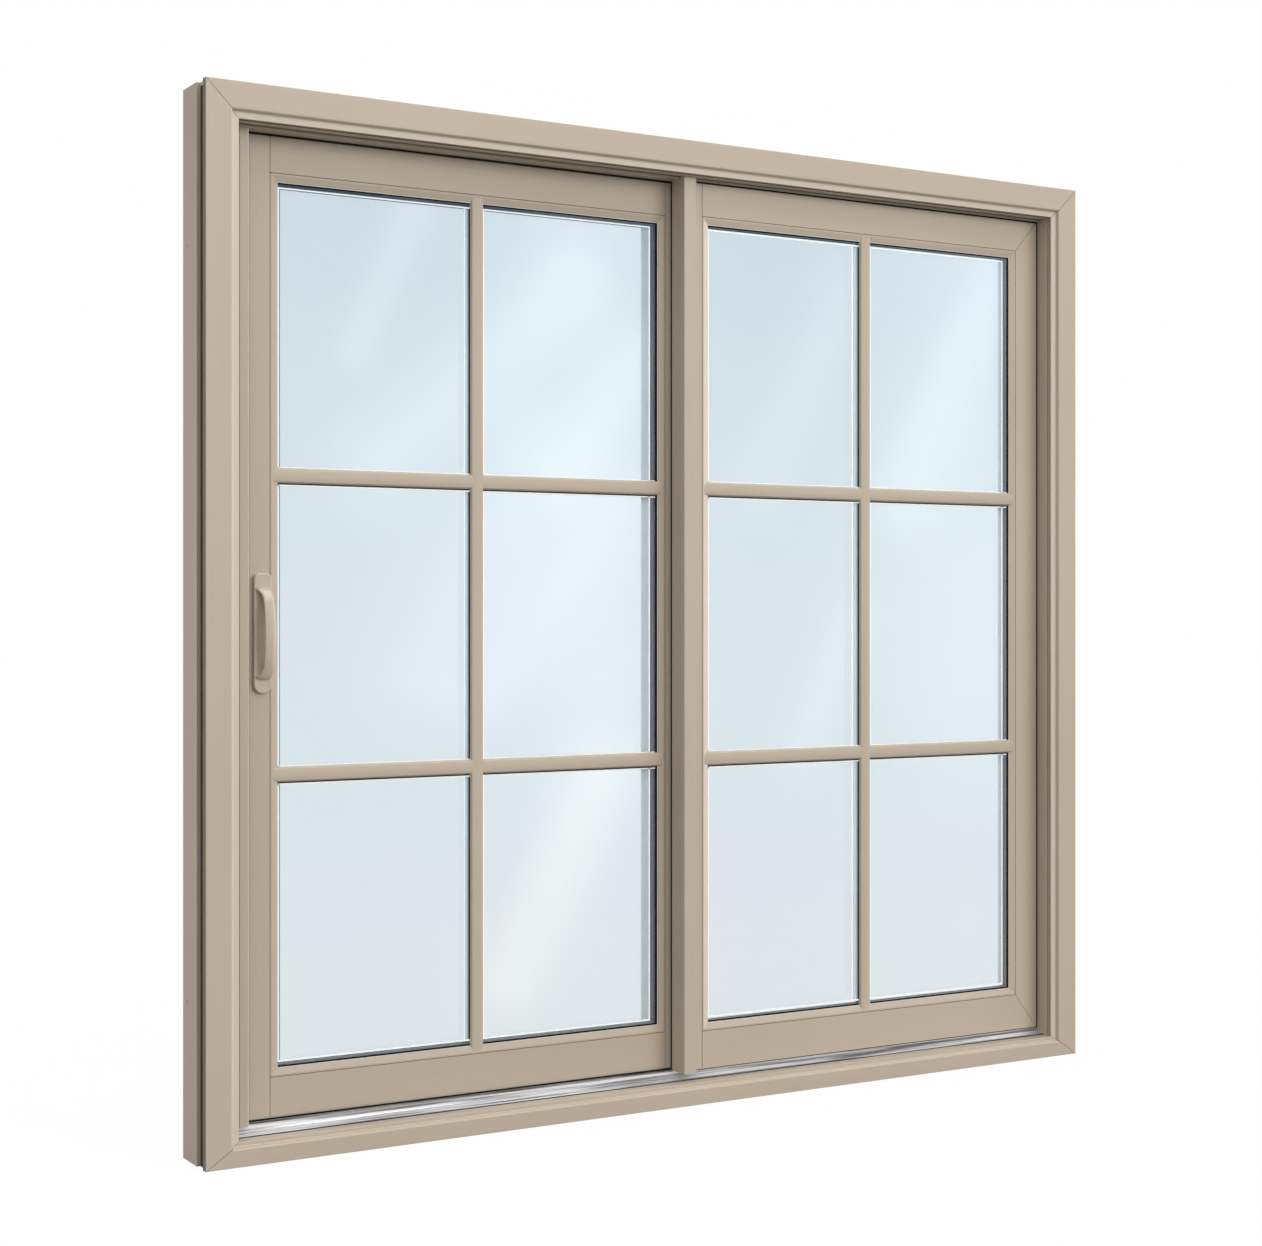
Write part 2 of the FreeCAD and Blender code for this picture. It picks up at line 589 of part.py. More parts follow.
def fixed_panel():
    """Right panel: square joints at the meeting stile, mitred joints at the jamb stile."""
    opening = (FIXED_LEFT + MEETING_STILE, FIXED_RIGHT - JAMB_STILE)
    mitres = {
        "stile": [(FIXED_RIGHT, FIXED_BOTTOM), (FIXED_RIGHT, FIXED_TOP), (opening[1], GLAZING_HIGH),
                  (opening[1], GLAZING_LOW)],
        "top": [(opening[0], FIXED_TOP), (FIXED_RIGHT, FIXED_TOP), (opening[1], GLAZING_HIGH),
                (opening[0], GLAZING_HIGH)],
        "bottom": [(opening[0], FIXED_BOTTOM), (FIXED_RIGHT, FIXED_BOTTOM), (opening[1], GLAZING_LOW),
                   (opening[0], GLAZING_LOW)],
    }
    stile = stile_body(opening[1], FIXED_RIGHT, FIXED_FACE, FIXED_BOTTOM, FIXED_TOP)
    top = rail_body(opening[0], FIXED_RIGHT, FIXED_FACE, GLAZING_HIGH, FIXED_TOP)
    bottom = rail_body(opening[0], FIXED_RIGHT, FIXED_FACE, FIXED_BOTTOM, GLAZING_LOW)
    nodes = {
        "fixed_meeting_stile": meeting_stile(),
        "fixed_jamb_stile": joined(trimmed(stile, mitres["stile"]), stile_lip(opening[1], FIXED_FACE, -1)),
        "fixed_top_rail": joined(trimmed(top, mitres["top"]),
                                 rail_lip(opening, FIXED_FACE, GLAZING_HIGH, -1)),
        "fixed_bottom_rail": joined(trimmed(bottom, mitres["bottom"]),
                                    rail_lip(opening, FIXED_FACE, GLAZING_LOW, 1)),
    }
    nodes.update(glazing("fixed_", opening, FIXED_FACE))
    return nodes


def sliding_panel():
    """Left panel: square joints, a lock stile with its plate let in, and slots for the rollers."""
    opening = (SLIDE_LEFT + LOCK_STILE, SLIDE_RIGHT - INTERLOCK_STILE)
    lock = stile_body(SLIDE_LEFT, opening[0], SLIDE_FACE, SLIDE_BOTTOM, SLIDE_TOP)
    interlock = stile_body(opening[1], SLIDE_RIGHT, SLIDE_FACE, SLIDE_BOTTOM, SLIDE_TOP)
    top = rail_body(*opening, SLIDE_FACE, GLAZING_HIGH, SLIDE_TOP)
    bottom = rail_body(*opening, SLIDE_FACE, SLIDE_BOTTOM, GLAZING_LOW)
    half_slot = ROLLER_RADIUS + ROLLER_SLOT_MARGIN
    for x in roller_places():
        slot = block(x - half_slot, x + half_slot, SLIDE_MIDDLE - ROLLER_SLOT_WIDTH / 2,
                     SLIDE_MIDDLE + ROLLER_SLOT_WIDTH / 2, SLIDE_BOTTOM, roller_height() + half_slot)
        bottom = bottom.cut(slot)
    nodes = {
        "sliding_lock_stile": joined(lock.cut(lock_plate_blank(SLIDE_LEFT)),
                                     stile_lip(opening[0], SLIDE_FACE, 1)),
        "sliding_interlock_stile": joined(interlock, stile_lip(opening[1], SLIDE_FACE, -1)),
        "sliding_top_rail": joined(top, rail_lip(opening, SLIDE_FACE, GLAZING_HIGH, -1)),
        "sliding_bottom_rail": joined(bottom, rail_lip(opening, SLIDE_FACE, GLAZING_LOW, 1)),
    }
    nodes.update(glazing("sliding_", opening, SLIDE_FACE))
    return nodes


def roller_places():
    """Middles of the two rollers along the bottom rail."""
    return (SLIDE_LEFT + LOCK_STILE + ROLLER_INSET, SLIDE_RIGHT - INTERLOCK_STILE - ROLLER_INSET)


def roller_height():
    """Height of the rollers' axles."""
    return RAIL_TOP + ROLLER_GAP + ROLLER_RADIUS


def rollers():
    """Two wheels on axles that bear in the sides of their slots."""
    wheels = []
    across = Vector(0, 1, 0)
    for x in roller_places():
        wheel_start = Vector(x, SLIDE_MIDDLE - ROLLER_WIDTH / 2, roller_height())
        axle_start = Vector(x, SLIDE_MIDDLE - ROLLER_SLOT_WIDTH / 2, roller_height())
        wheel = Part.makeCylinder(ROLLER_RADIUS, ROLLER_WIDTH, wheel_start, across)
        axle = Part.makeCylinder(AXLE_RADIUS, ROLLER_SLOT_WIDTH, axle_start, across)
        wheels.append(wheel.fuse(axle).removeSplitter())
    return {"rollers": Part.makeCompound(wheels)}


def handle_plate():
    """Back plate with rounder lower corners and a bevelled front edge."""
    half_width = HANDLE_PLATE_WIDTH / 2
    half_length = HANDLE_PLATE_LENGTH / 2
    left, right = HANDLE_X - half_width, HANDLE_X + half_width
    low, high = HANDLE_HEIGHT - half_length, HANDLE_HEIGHT + half_length
    corners = [(left, low, HANDLE_FOOT_ROUND), (right, low, HANDLE_FOOT_ROUND),
               (right, high, HANDLE_TOP_ROUND), (left, high, HANDLE_TOP_ROUND)]
    plate = extrusion(corners, along_y(SLIDE_FACE), Vector(0, -HANDLE_PLATE_THICKNESS, 0))
    front = min(plate.Faces, key=lambda side: side.CenterOfMass.y)
    return plate.makeChamfer(HANDLE_EDGE_BEVEL, front.Edges)


def grip_place(across, out, up):
    """Point of the grip, from its distance across and up from the plate's middle and out from its front."""
    return Vector(HANDLE_X + across, SLIDE_FACE - HANDLE_PLATE_THICKNESS - out, HANDLE_HEIGHT + up)


def face_under(wire):
    """Flat face between an open wire and the straight line that joins its ends."""
    ends = wire.OrderedVertexes
    return Part.Face(Part.Wire(wire.Edges + [Part.makeLine(ends[-1].Point, ends[0].Point)]))


def grip_strap():
    """Bowed strap of even depth, drawn from the side, with its outer edges rounded."""
    route = [(-GRIP_ROOT, GRIP_HALF_LENGTH), (GRIP_REACH, GRIP_SHOULDER, GRIP_SHOULDER_RADIUS),
             (GRIP_REACH + GRIP_BOW, 0, GRIP_BOW_RADIUS), (GRIP_REACH, -GRIP_SHOULDER, GRIP_SHOULDER_RADIUS),
             (-GRIP_ROOT, -GRIP_HALF_LENGTH)]
    across = Vector(GRIP_WIDTH, 0, 0)
    plane = lambda out, up: grip_place(-GRIP_WIDTH / 2, out, up)
    outside = Part.Wire(outline_edges(route, plane, closed=False))
    inside = outside.makeOffset2D(-GRIP_DEPTH, openResult=True)
    hump = face_under(outside).extrude(across)
    flanks = (min(hump.Faces, key=lambda flank: flank.CenterOfMass.x),
              max(hump.Faces, key=lambda flank: flank.CenterOfMass.x))
    rounded = hump.makeFillet(GRIP_EDGE_ROUND, [edge for flank in flanks for edge in flank.Edges])
    return rounded.cut(face_under(inside).extrude(across))


def bevelled_rectangle(width, depth, bevel):
    """Corners of a rectangle that is centred across and starts at zero depth, with its corners cut off."""
    half = width / 2
    return [(bevel - half, 0), (half - bevel, 0), (half, bevel), (half, depth - bevel),
            (half - bevel, depth), (bevel - half, depth), (-half, depth - bevel), (-half, bevel)]


def grip_foot(side):
    """Tapered foot round the end of the strap, almost as wide as the plate where it meets it."""
    leg = (GRIP_REACH + GRIP_ROOT, GRIP_SHOULDER - GRIP_HALF_LENGTH)
    length = math.hypot(*leg)
    along = (leg[0] / length, leg[1] / length)
    inward = (along[1], -along[0])
    ends = ((0, GRIP_FOOT_WIDTH, GRIP_FOOT_DEPTH),
            (GRIP_FOOT_LENGTH, GRIP_WIDTH - 2 * GRIP_FOOT_SINK, GRIP_DEPTH - 2 * GRIP_FOOT_SINK))
    sections = []
    for distance, width, depth in ends:
        start = (GRIP_DEPTH - depth) / 2
        base = (along[0] * distance + inward[0] * start - GRIP_ROOT,
                along[1] * distance + inward[1] * start + GRIP_HALF_LENGTH)
        plane = lambda u, v: grip_place(u, base[0] + inward[0] * v, side * (base[1] + inward[1] * v))
        outline = bevelled_rectangle(width, depth, GRIP_FOOT_BEVEL)
        sections.append(Part.Wire(outline_edges(outline, plane)))
    return Part.makeLoft(sections, True, True)


def handles():
    """Outside pull, cast in one piece with its plate, and its mirror image on the inside."""
    cast = handle_plate().fuse([grip_strap(), grip_foot(1), grip_foot(-1)]).removeSplitter()
    outside = cast.Solids[0]
    inside = outside.mirror(Vector(0, SLIDE_MIDDLE, 0), Vector(0, 1, 0))
    return {"exterior_handle": outside, "interior_handle": inside}


def main():
    os.makedirs("parts", exist_ok=True)
    makers = (casing, jambs, head_jamb, sill_and_track, rear_stops, jamb_cover, lock_plates, fixed_panel,
              sliding_panel, rollers, handles)
    for make in makers:
        for name, shape in make().items():
            shape.exportStep("parts/" + name + ".step")


main()
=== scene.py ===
"""Looks of the two-panel sliding patio door, built round its solids, in metres.

X runs along the door to the right as seen from outside, Y runs into the building and Z runs up. Every new
piece is a surface worked out from two parameters, and every finish is made of shader nodes.
"""
import json
import math

import bmesh
import bpy
import numpy as np
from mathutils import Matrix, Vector


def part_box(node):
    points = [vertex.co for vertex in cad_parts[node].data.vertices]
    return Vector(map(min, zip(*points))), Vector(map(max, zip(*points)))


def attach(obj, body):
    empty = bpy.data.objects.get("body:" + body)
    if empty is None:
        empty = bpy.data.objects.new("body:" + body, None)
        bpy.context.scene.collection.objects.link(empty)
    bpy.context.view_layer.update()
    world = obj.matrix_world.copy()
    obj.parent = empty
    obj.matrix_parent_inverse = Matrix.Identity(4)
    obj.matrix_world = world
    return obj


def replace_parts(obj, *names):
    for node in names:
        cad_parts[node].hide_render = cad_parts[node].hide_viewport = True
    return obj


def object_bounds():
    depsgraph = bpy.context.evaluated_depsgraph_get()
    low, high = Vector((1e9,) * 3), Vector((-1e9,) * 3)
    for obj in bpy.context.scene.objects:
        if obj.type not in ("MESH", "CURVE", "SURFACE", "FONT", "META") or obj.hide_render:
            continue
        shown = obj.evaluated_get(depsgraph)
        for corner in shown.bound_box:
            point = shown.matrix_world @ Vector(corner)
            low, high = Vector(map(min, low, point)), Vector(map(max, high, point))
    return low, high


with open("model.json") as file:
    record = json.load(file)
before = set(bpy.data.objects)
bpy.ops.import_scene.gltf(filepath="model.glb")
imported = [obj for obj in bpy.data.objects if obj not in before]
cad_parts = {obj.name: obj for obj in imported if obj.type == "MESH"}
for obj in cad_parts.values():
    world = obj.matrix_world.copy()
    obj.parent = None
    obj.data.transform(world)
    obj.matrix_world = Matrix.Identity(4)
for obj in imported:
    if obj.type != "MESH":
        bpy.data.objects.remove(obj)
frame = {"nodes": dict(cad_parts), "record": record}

cad_low, cad_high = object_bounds()
scene = bpy.context.scene
MM = 0.001

# Camera, from the photograph's perspective; the horizon's rise is in the photograph's pixels
PHOTO_WIDTH = 1262
CAMERA_PLACE = (-2.44175, -3.9289, 1.0371)
CAMERA_HEADING = math.radians(30.655)
CAMERA_LENS = 61.96
SENSOR_WIDTH = 36.0
HORIZON_RISE = 10

# Colours, linear
TAN_LIGHT = (0.502, 0.424, 0.334, 1)
TAN_DEEP = (0.470, 0.393, 0.305, 1)
# pale colour of the casing's ledge: painted highlight
TAN_LEDGE_HIGHLIGHT = (0.590, 0.512, 0.416, 1)
# pale colours of the rounded lips: painted highlight
LIP_HIGHLIGHT_TAN = (0.72, 0.66, 0.58, 1)
LIP_HIGHLIGHT_DEEP = (0.64, 0.58, 0.50, 1)
HANDLE_TAN = (0.500, 0.424, 0.336, 1)
HANDLE_TAN_DEEP = (0.468, 0.394, 0.310, 1)
ALUMINIUM = (0.93, 0.93, 0.94, 1)
ALUMINIUM_DARK = (0.22, 0.22, 0.225, 1)
STEEL = (0.56, 0.55, 0.53, 1)
STEEL_DARK = (0.36, 0.355, 0.35, 1)
GLASS_TINT = (0.9154, 0.9413, 0.9546, 1)
WHITE = (1, 1, 1, 1)
BLACK = (0.004, 0.005, 0.006, 1)
CHARCOAL = (0.012, 0.014, 0.017, 1)
SPACER_GREY = (0.20, 0.23, 0.26, 1)
SPACER_GREY_DEEP = (0.14, 0.165, 0.19, 1)
SLATE = (0.26, 0.31, 0.36, 1)
SLATE_DEEP = (0.20, 0.245, 0.29, 1)
# pale lines on the glass: painted highlight
PALE_HIGHLIGHT_LINE = (0.95, 0.97, 0.98, 1)
PALE_GREY = (0.86, 0.89, 0.91, 1)
PALE_GREY_DEEP = (0.80, 0.835, 0.86, 1)
STRIP_GREY = (0.80, 0.85, 0.88, 1)
STRIP_GREY_DEEP = (0.75, 0.80, 0.83, 1)
# dark joint lines, also used for painted shade on the jamb cover and in the edge grooves
SEAM_AND_SHADE_BROWN = (0.110, 0.085, 0.060, 1)
SEAM_AND_SHADE_DEEP = (0.080, 0.060, 0.042, 1)
# dark liners on the floors of the grooves: painted shade
GROOVE_SHADE = (0.060, 0.046, 0.033, 1)
GROOVE_SHADE_DEEP = (0.040, 0.030, 0.021, 1)
# dark lines beside the reveal ribs: painted shade
RIB_SHADE = (0.27, 0.215, 0.155, 1)
RIB_SHADE_DEEP = (0.22, 0.175, 0.125, 1)
PILE_GREY = (0.030, 0.029, 0.028, 1)
NYLON = (0.055, 0.055, 0.058, 1)
NYLON_DEEP = (0.040, 0.040, 0.042, 1)

# Painted light on the cladding: a painted highlight on the casing's ledge, found by its depth, painted shade
# on the casing's outer sides, by how near the outside they lie, and painted shade on the sliding panel and
# the jamb cover, as their share of the fixed panel's tone
CASING_LEDGE = 9.0 * MM
LEDGE_HIGHLIGHT_PLACE = cad_low.y + CASING_LEDGE
LEDGE_HIGHLIGHT_REACH = 1.3 * MM
SIDE_SHADE_SKIN = (0.6 * MM, 0.2 * MM)
SIDE_SHADE_SHARE = 0.45
SLIDE_SHADE_SHARE = 0.93

# Patterns of the finishes: waves in a metre, shares in the tone, limits of the mix of two colours, changes of
# roughness, coats, and reliefs given as a height and a strength
DRAW_ALONG = 3
DRAW_ACROSS = 420
CLOUD_WAVES = 2.1
GRAIN_WAVES = 1300
PEEL_WAVES = 420
CAST_WAVES = 14
TRACK_WAVES = (3, 190, 190)
STEEL_WAVES = (900, 900, 12)
DRAW_SHARE = 0.30
CLOUD_SHARE = 0.45
GRAIN_SHARE = 0.25
TONE_LIMITS = (0.30, 0.70)
BRIGHT_LIMITS = (0.36, 0.60)
SATIN_ROUGHNESS = 0.40
CAST_ROUGHNESS = 0.33
GRAIN_CHANGE = 0.12
DRAW_CHANGE = 0.10
CAST_CHANGE = 0.12
METAL_CHANGE = 0.20
MOULD_CHANGE = 0.10
SATIN_COAT = 0.35
CAST_COAT = 0.80
COAT_ROUGHNESS = 0.14
GRAIN_RELIEF = (0.1 * MM, 0.06)
PEEL_RELIEF = (0.2 * MM, 0.08)
METAL_RELIEF = (0.2 * MM, 0.12)
MOULD_RELIEF = (0.1 * MM, 0.12)
MIRROR_INDEX = 1.8
DULL = 0.12


class Wire:
    """An output of a shader node. Arithmetic on wires adds Math nodes, and node() adds any other node."""

    def __init__(self, tree, socket=None):
        self.tree = tree
        self.socket = socket

    def node(self, kind, settings=None, inputs=None, output=0):
        """A new node: its settings come first, then each input, by name or number, gets a value or a link."""
        added = self.tree.nodes.new("ShaderNode" + kind)
        for name, value in (settings or {}).items():
            setattr(added, name, value)
        for name, value in (inputs or {}).items():
            if isinstance(value, Wire):
                self.tree.links.new(value.socket, added.inputs[name])
            else:
                added.inputs[name].default_value = value
        return Wire(self.tree, added.outputs[output]) if added.outputs else None

    def output(self, name):
        """Another output of the same node."""
        return Wire(self.tree, self.socket.node.outputs[name])

    def math(self, operation, *values):
        """Math node on numbers and wires."""
        return self.node("Math", {"operation": operation}, dict(enumerate(values)))

    def __add__(self, other):
        return self.math("ADD", self, other)

    def __radd__(self, other):
        return self.math("ADD", other, self)

    def __sub__(self, other):
        return self.math("SUBTRACT", self, other)

    def __rsub__(self, other):
        return self.math("SUBTRACT", other, self)

    def __mul__(self, other):
        return self.math("MULTIPLY", self, other)

    def __rmul__(self, other):
        return self.math("MULTIPLY", other, self)

    def __truediv__(self, other):
        return self.math("DIVIDE", self, other)

    def __pow__(self, other):
        return self.math("POWER", self, other)

    def between(self, low, high):
        """Smooth step from 0 at low to 1 at high."""
        ends = {"Value": self, "From Min": low, "From Max": high}
        return self.node("MapRange", {"interpolation_type": "SMOOTHSTEP"}, ends)

    def clamped(self):
        """This value kept between 0 and 1."""
        return self.math("MINIMUM", self.math("MAXIMUM", self, 0.0), 1.0)

    def uneven(self, change):
        """A noise, which swings about a half, as a change about 0."""
        return (self - 0.5) * change

    def bell(self, middle, half_width):
        """Bell curve of height 1 round a middle."""
        return self.math("EXPONENT", ((self - middle) / half_width) ** 2.0 * -1.0)

    def colours(self, first, second):
        """Mix of two colours, with this wire as its factor."""
        return self.node("Mix", {"data_type": "RGBA"}, {0: self, 6: first, 7: second}, 2)

    def shaders(self, first, second):
        """Mix of two shaders, with this wire as its factor."""
        return self.node("MixShader", {}, {0: self, 1: first, 2: second})


def new_finish(name):
    """Empty material and the start of its node tree."""
    material = bpy.data.materials.new(name)
    material.use_nodes = True
    material.node_tree.nodes.clear()
    return material, Wire(material.node_tree)


def object_noise(start, stretch, detail=2.0):
    """Noise over the piece's own coordinates; stretch is how many waves a metre holds along X, Y and Z."""
    place = start.node("TexCoord", output="Object")
    mapped = start.node("Mapping", {}, {"Vector": place, "Scale": stretch})
    return start.node("TexNoise", {}, {"Vector": mapped, "Scale": 1.0, "Detail": detail})


def surface(start, inputs):
    """Principled surface with the given inputs, joined to the material's output."""
    shader = start.node("BsdfPrincipled", {}, inputs)
    start.node("OutputMaterial", {}, {"Surface": shader})


def relief(start, height, distance, strength):
    """Normal bent by a height."""
    return start.node("Bump", {}, {"Height": height, "Distance": distance, "Strength": strength})


def shaded(colour, share):
    """A colour, darker by a share."""
    return tuple(share * part for part in colour[:3]) + (1,)


def satin_cladding(name, run, share=1.0, ledge=None):
    """Satin tan extrusion: faint draw lines along its run, slow changes of tone and a fine grain; share
    darkens it as painted shade. A casing has a painted highlight on its ledge, given as a depth, and painted
    shade on its outer sides."""
    material, start = new_finish(name)
    lines = object_noise(start, [DRAW_ALONG if axis == run else DRAW_ACROSS for axis in "xyz"])
    clouds = object_noise(start, [CLOUD_WAVES] * 3)
    grain = object_noise(start, [GRAIN_WAVES] * 3)
    tone = lines * DRAW_SHARE + clouds * CLOUD_SHARE + grain * GRAIN_SHARE
    colour = tone.between(*TONE_LIMITS).colours(shaded(TAN_DEEP, share), shaded(TAN_LIGHT, share))
    if ledge is not None:
        place = start.node("SeparateXYZ", {}, {0: start.node("TexCoord", output="Object")})
        # painted highlight on the casing's ledge
        colour = place.output("Y").bell(ledge, LEDGE_HIGHLIGHT_REACH).colours(colour, TAN_LEDGE_HIGHLIGHT)
        # painted shade on the casing's outer sides
        aside = place.math("ABSOLUTE", place.output("X"))
        outer = aside.between(cad_high.x - SIDE_SHADE_SKIN[0], cad_high.x - SIDE_SHADE_SKIN[1])
        colour = outer.colours(colour, shaded(TAN_DEEP, SIDE_SHADE_SHARE))
    surface(start, {
        "Base Color": colour,
        "Roughness": SATIN_ROUGHNESS + grain.uneven(GRAIN_CHANGE) + lines.uneven(DRAW_CHANGE),
        "Coat Weight": SATIN_COAT,
        "Coat Roughness": COAT_ROUGHNESS,
        "Normal": relief(start, grain, *GRAIN_RELIEF),
    })
    return material


def handle_paint():
    """Satin paint on the cast pulls, with a slight orange peel."""
    material, start = new_finish("handle_paint")
    peel = object_noise(start, [PEEL_WAVES] * 3, detail=1.0)
    clouds = object_noise(start, [CAST_WAVES] * 3)
    surface(start, {
        "Base Color": clouds.between(*TONE_LIMITS).colours(HANDLE_TAN_DEEP, HANDLE_TAN),
        "Roughness": CAST_ROUGHNESS + clouds.uneven(CAST_CHANGE),
        "Coat Weight": CAST_COAT,
        "Coat Roughness": COAT_ROUGHNESS,
        "Normal": relief(start, peel, *PEEL_RELIEF),
    })
    return material


def drawn_metal(name, stretch, dark, light, metallic, roughness):
    """Bare metal with fine lines along its run, some of them bright."""
    material, start = new_finish(name)
    lines = object_noise(start, stretch, detail=3.0)
    surface(start, {
        "Base Color": lines.between(*BRIGHT_LIMITS).colours(dark, light),
        "Metallic": metallic,
        "Roughness": roughness + lines.uneven(METAL_CHANGE),
        "Normal": relief(start, lines, *METAL_RELIEF),
    })
    return material


def clear_glass():
    """Clear glass, faintly blue: a mirror by the Fresnel share on its front, see-through elsewhere."""
    material, start = new_finish("clear_glass")
    front = 1 - start.node("NewGeometry", output="Backfacing")
    share = start.node("Fresnel", {}, {"IOR": MIRROR_INDEX}) * front
    through = start.node("BsdfTransparent", {}, {"Color": GLASS_TINT})
    mirror = start.node("BsdfPrincipled", {}, {"Base Color": WHITE, "Metallic": 1.0, "Roughness": 0.0})
    start.node("OutputMaterial", {}, {"Surface": share.shaders(through, mirror)})
    return material


def plain_finish(name, dark, light, waves, roughness, gloss=0.5):
    """Matt moulded finish with a mottled tone and a fine grain; gloss is its level of reflection."""
    material, start = new_finish(name)
    mottle = object_noise(start, [waves] * 3, detail=3.0)
    surface(start, {
        "Base Color": mottle.between(*TONE_LIMITS).colours(dark, light),
        "Roughness": roughness + mottle.uneven(MOULD_CHANGE),
        "Specular IOR Level": gloss,
        "Normal": relief(start, mottle, *MOULD_RELIEF),
    })
    return material


FINISHES = {
    "upright": satin_cladding("cladding_upright", "z"),
    "level": satin_cladding("cladding_level", "x"),
    # darker copies of the cladding: painted shade on the recessed sliding panel and the jamb cover
    "slide_upright": satin_cladding("panel_cladding_shaded_upright", "z", SLIDE_SHADE_SHARE),
    "slide_level": satin_cladding("panel_cladding_shaded_level", "x", SLIDE_SHADE_SHARE),
    # casing finishes: painted highlight on the ledge and painted shade on the outer sides
    "casing_upright": satin_cladding("casing_upright", "z", ledge=LEDGE_HIGHLIGHT_PLACE),
    "casing_level": satin_cladding("casing_level", "x", ledge=LEDGE_HIGHLIGHT_PLACE),
    "handle": handle_paint(),
    "track": drawn_metal("drawn_aluminium", TRACK_WAVES, ALUMINIUM_DARK, ALUMINIUM,
                         metallic=0.45, roughness=0.36),
    "steel": drawn_metal("brushed_steel", STEEL_WAVES, STEEL_DARK, STEEL, metallic=1.0, roughness=0.36),
    "glass": clear_glass(),
    "spacer": plain_finish("edge_spacer", SPACER_GREY_DEEP, SPACER_GREY, waves=220, roughness=0.45),
    # black rubber for real seals, also used for dark strips that are painted shade
    "rubber_and_shade": plain_finish("seal_rubber_and_shade", BLACK, CHARCOAL, waves=600, roughness=0.70, gloss=DULL),
    "slate": plain_finish("unit_seal", SLATE_DEEP, SLATE, waves=160, roughness=0.55),
    # pale lines on the glass: painted highlight
    "highlight_line": plain_finish("painted_highlight_line", PALE_HIGHLIGHT_LINE, WHITE, waves=90, roughness=0.45),
    "return": plain_finish("pale_return", PALE_GREY_DEEP, PALE_GREY, waves=30, roughness=0.50),
    "strip": plain_finish("bar_strip", STRIP_GREY_DEEP, STRIP_GREY, waves=30, roughness=0.50),
    # rounded lips, pale as a painted highlight
    "lip": plain_finish("rounded_lip_highlight", LIP_HIGHLIGHT_DEEP, LIP_HIGHLIGHT_TAN, waves=90, roughness=0.35),
    # dark joint lines, also painted shade on the jamb cover and in the edge grooves
    "seam": plain_finish("joint_line_and_shade", SEAM_AND_SHADE_DEEP, SEAM_AND_SHADE_BROWN, waves=300, roughness=0.80, gloss=DULL),
    # dark liners in the wall grooves: painted shade
    "groove_shade": plain_finish("groove_shadow", GROOVE_SHADE_DEEP, GROOVE_SHADE, waves=60, roughness=0.80, gloss=DULL),
    # dark lines beside the reveal ribs: painted shade
    "rib_shade": plain_finish("rib_shadow", RIB_SHADE_DEEP, RIB_SHADE, waves=300, roughness=0.80, gloss=DULL),
    "pile": plain_finish("pile", BLACK, PILE_GREY, waves=1600, roughness=0.95, gloss=DULL),
    "nylon": plain_finish("roller_nylon", NYLON_DEEP, NYLON, waves=240, roughness=0.45),
}


def grid_faces(index, wrap_rows):
    """Cells of a grid of numbered points, closed round its columns and, where wrapped, round its rows."""
    index = np.hstack((index, index[:, :1]))
    if wrap_rows:
        index = np.vstack((index, index[:1]))
    cells = (index[:-1, :-1], index[:-1, 1:], index[1:, 1:], index[1:, :-1])
    return np.stack(cells, axis=-1).reshape(-1, 4)


def make_piece(name, body, finish, shells, wrap_rows=False, sharp_degrees=35):
    """One object from closed shells. A shell is a grid of points, rows by columns, closed round its columns;
    its rows are wrapped, or else its first and last rows are capped."""
    faces = []
    first = 0
    for shell in shells:
        rows, columns = shell.shape[:2]
        index = first + np.arange(rows * columns).reshape(rows, columns)
        faces += grid_faces(index, wrap_rows).tolist()
        if not wrap_rows:
            faces += [index[0].tolist(), index[-1].tolist()]
        first += rows * columns
    points = np.concatenate([shell.reshape(-1, 3) for shell in shells])
    mesh = bpy.data.meshes.new(name)
    mesh.from_pydata(points.tolist(), [], faces)
    shape = bmesh.new()
    shape.from_mesh(mesh)
    bmesh.ops.recalc_face_normals(shape, faces=shape.faces)
    shape.to_mesh(mesh)
    shape.free()
    mesh.shade_smooth()
    mesh.set_sharp_from_angle(angle=math.radians(sharp_degrees))
    mesh.materials.append(FINISHES[finish])
    piece = bpy.data.objects.new(name, mesh)
    scene.collection.objects.link(piece)
    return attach(piece, body)


SIDES = ("left", "right", "bottom", "top")
INWARD = {"left": 1, "right": -1, "bottom": 1, "top": -1}
ROUND_POINTS = 12
EASE_POINTS = 4


def side_values(value):
    """One value for every side, or the values given by side."""
    return value if isinstance(value, dict) else dict.fromkeys(SIDES, value)


def flat_band(outer, inner, front, back):
    """Profile of a flat ring: insets by side and depths, from its outer edge to its inner one and back."""
    outer = side_values(outer)
    inner = side_values(inner)
    insets = {side: np.array([outer[side], inner[side], inner[side], outer[side]]) for side in SIDES}
    return insets, np.array([front, front, back, back])


def round_band(middle, radius, front):
    """Profile of a round ring: a circle centred as far in as middle, with its front at the given depth."""
    turn = np.linspace(0, 2 * math.pi, ROUND_POINTS, endpoint=False)
    return side_values(middle + radius * np.cos(turn)), front + radius + radius * np.sin(turn)


def ring_shell(opening, profile):
    """Closed rectangular ring, mitred at its corners. A point is a corner of the opening moved in by the
    profile's inset, which can differ from side to side, at the profile's depth."""
    insets, depths = profile
    edges = {side: opening[side] + INWARD[side] * insets[side] for side in SIDES}
    corners = (("left", "bottom"), ("right", "bottom"), ("right", "top"), ("left", "top"))
    return np.array([np.stack((edges[side], depths, edges[level]), axis=-1) for side, level in corners])


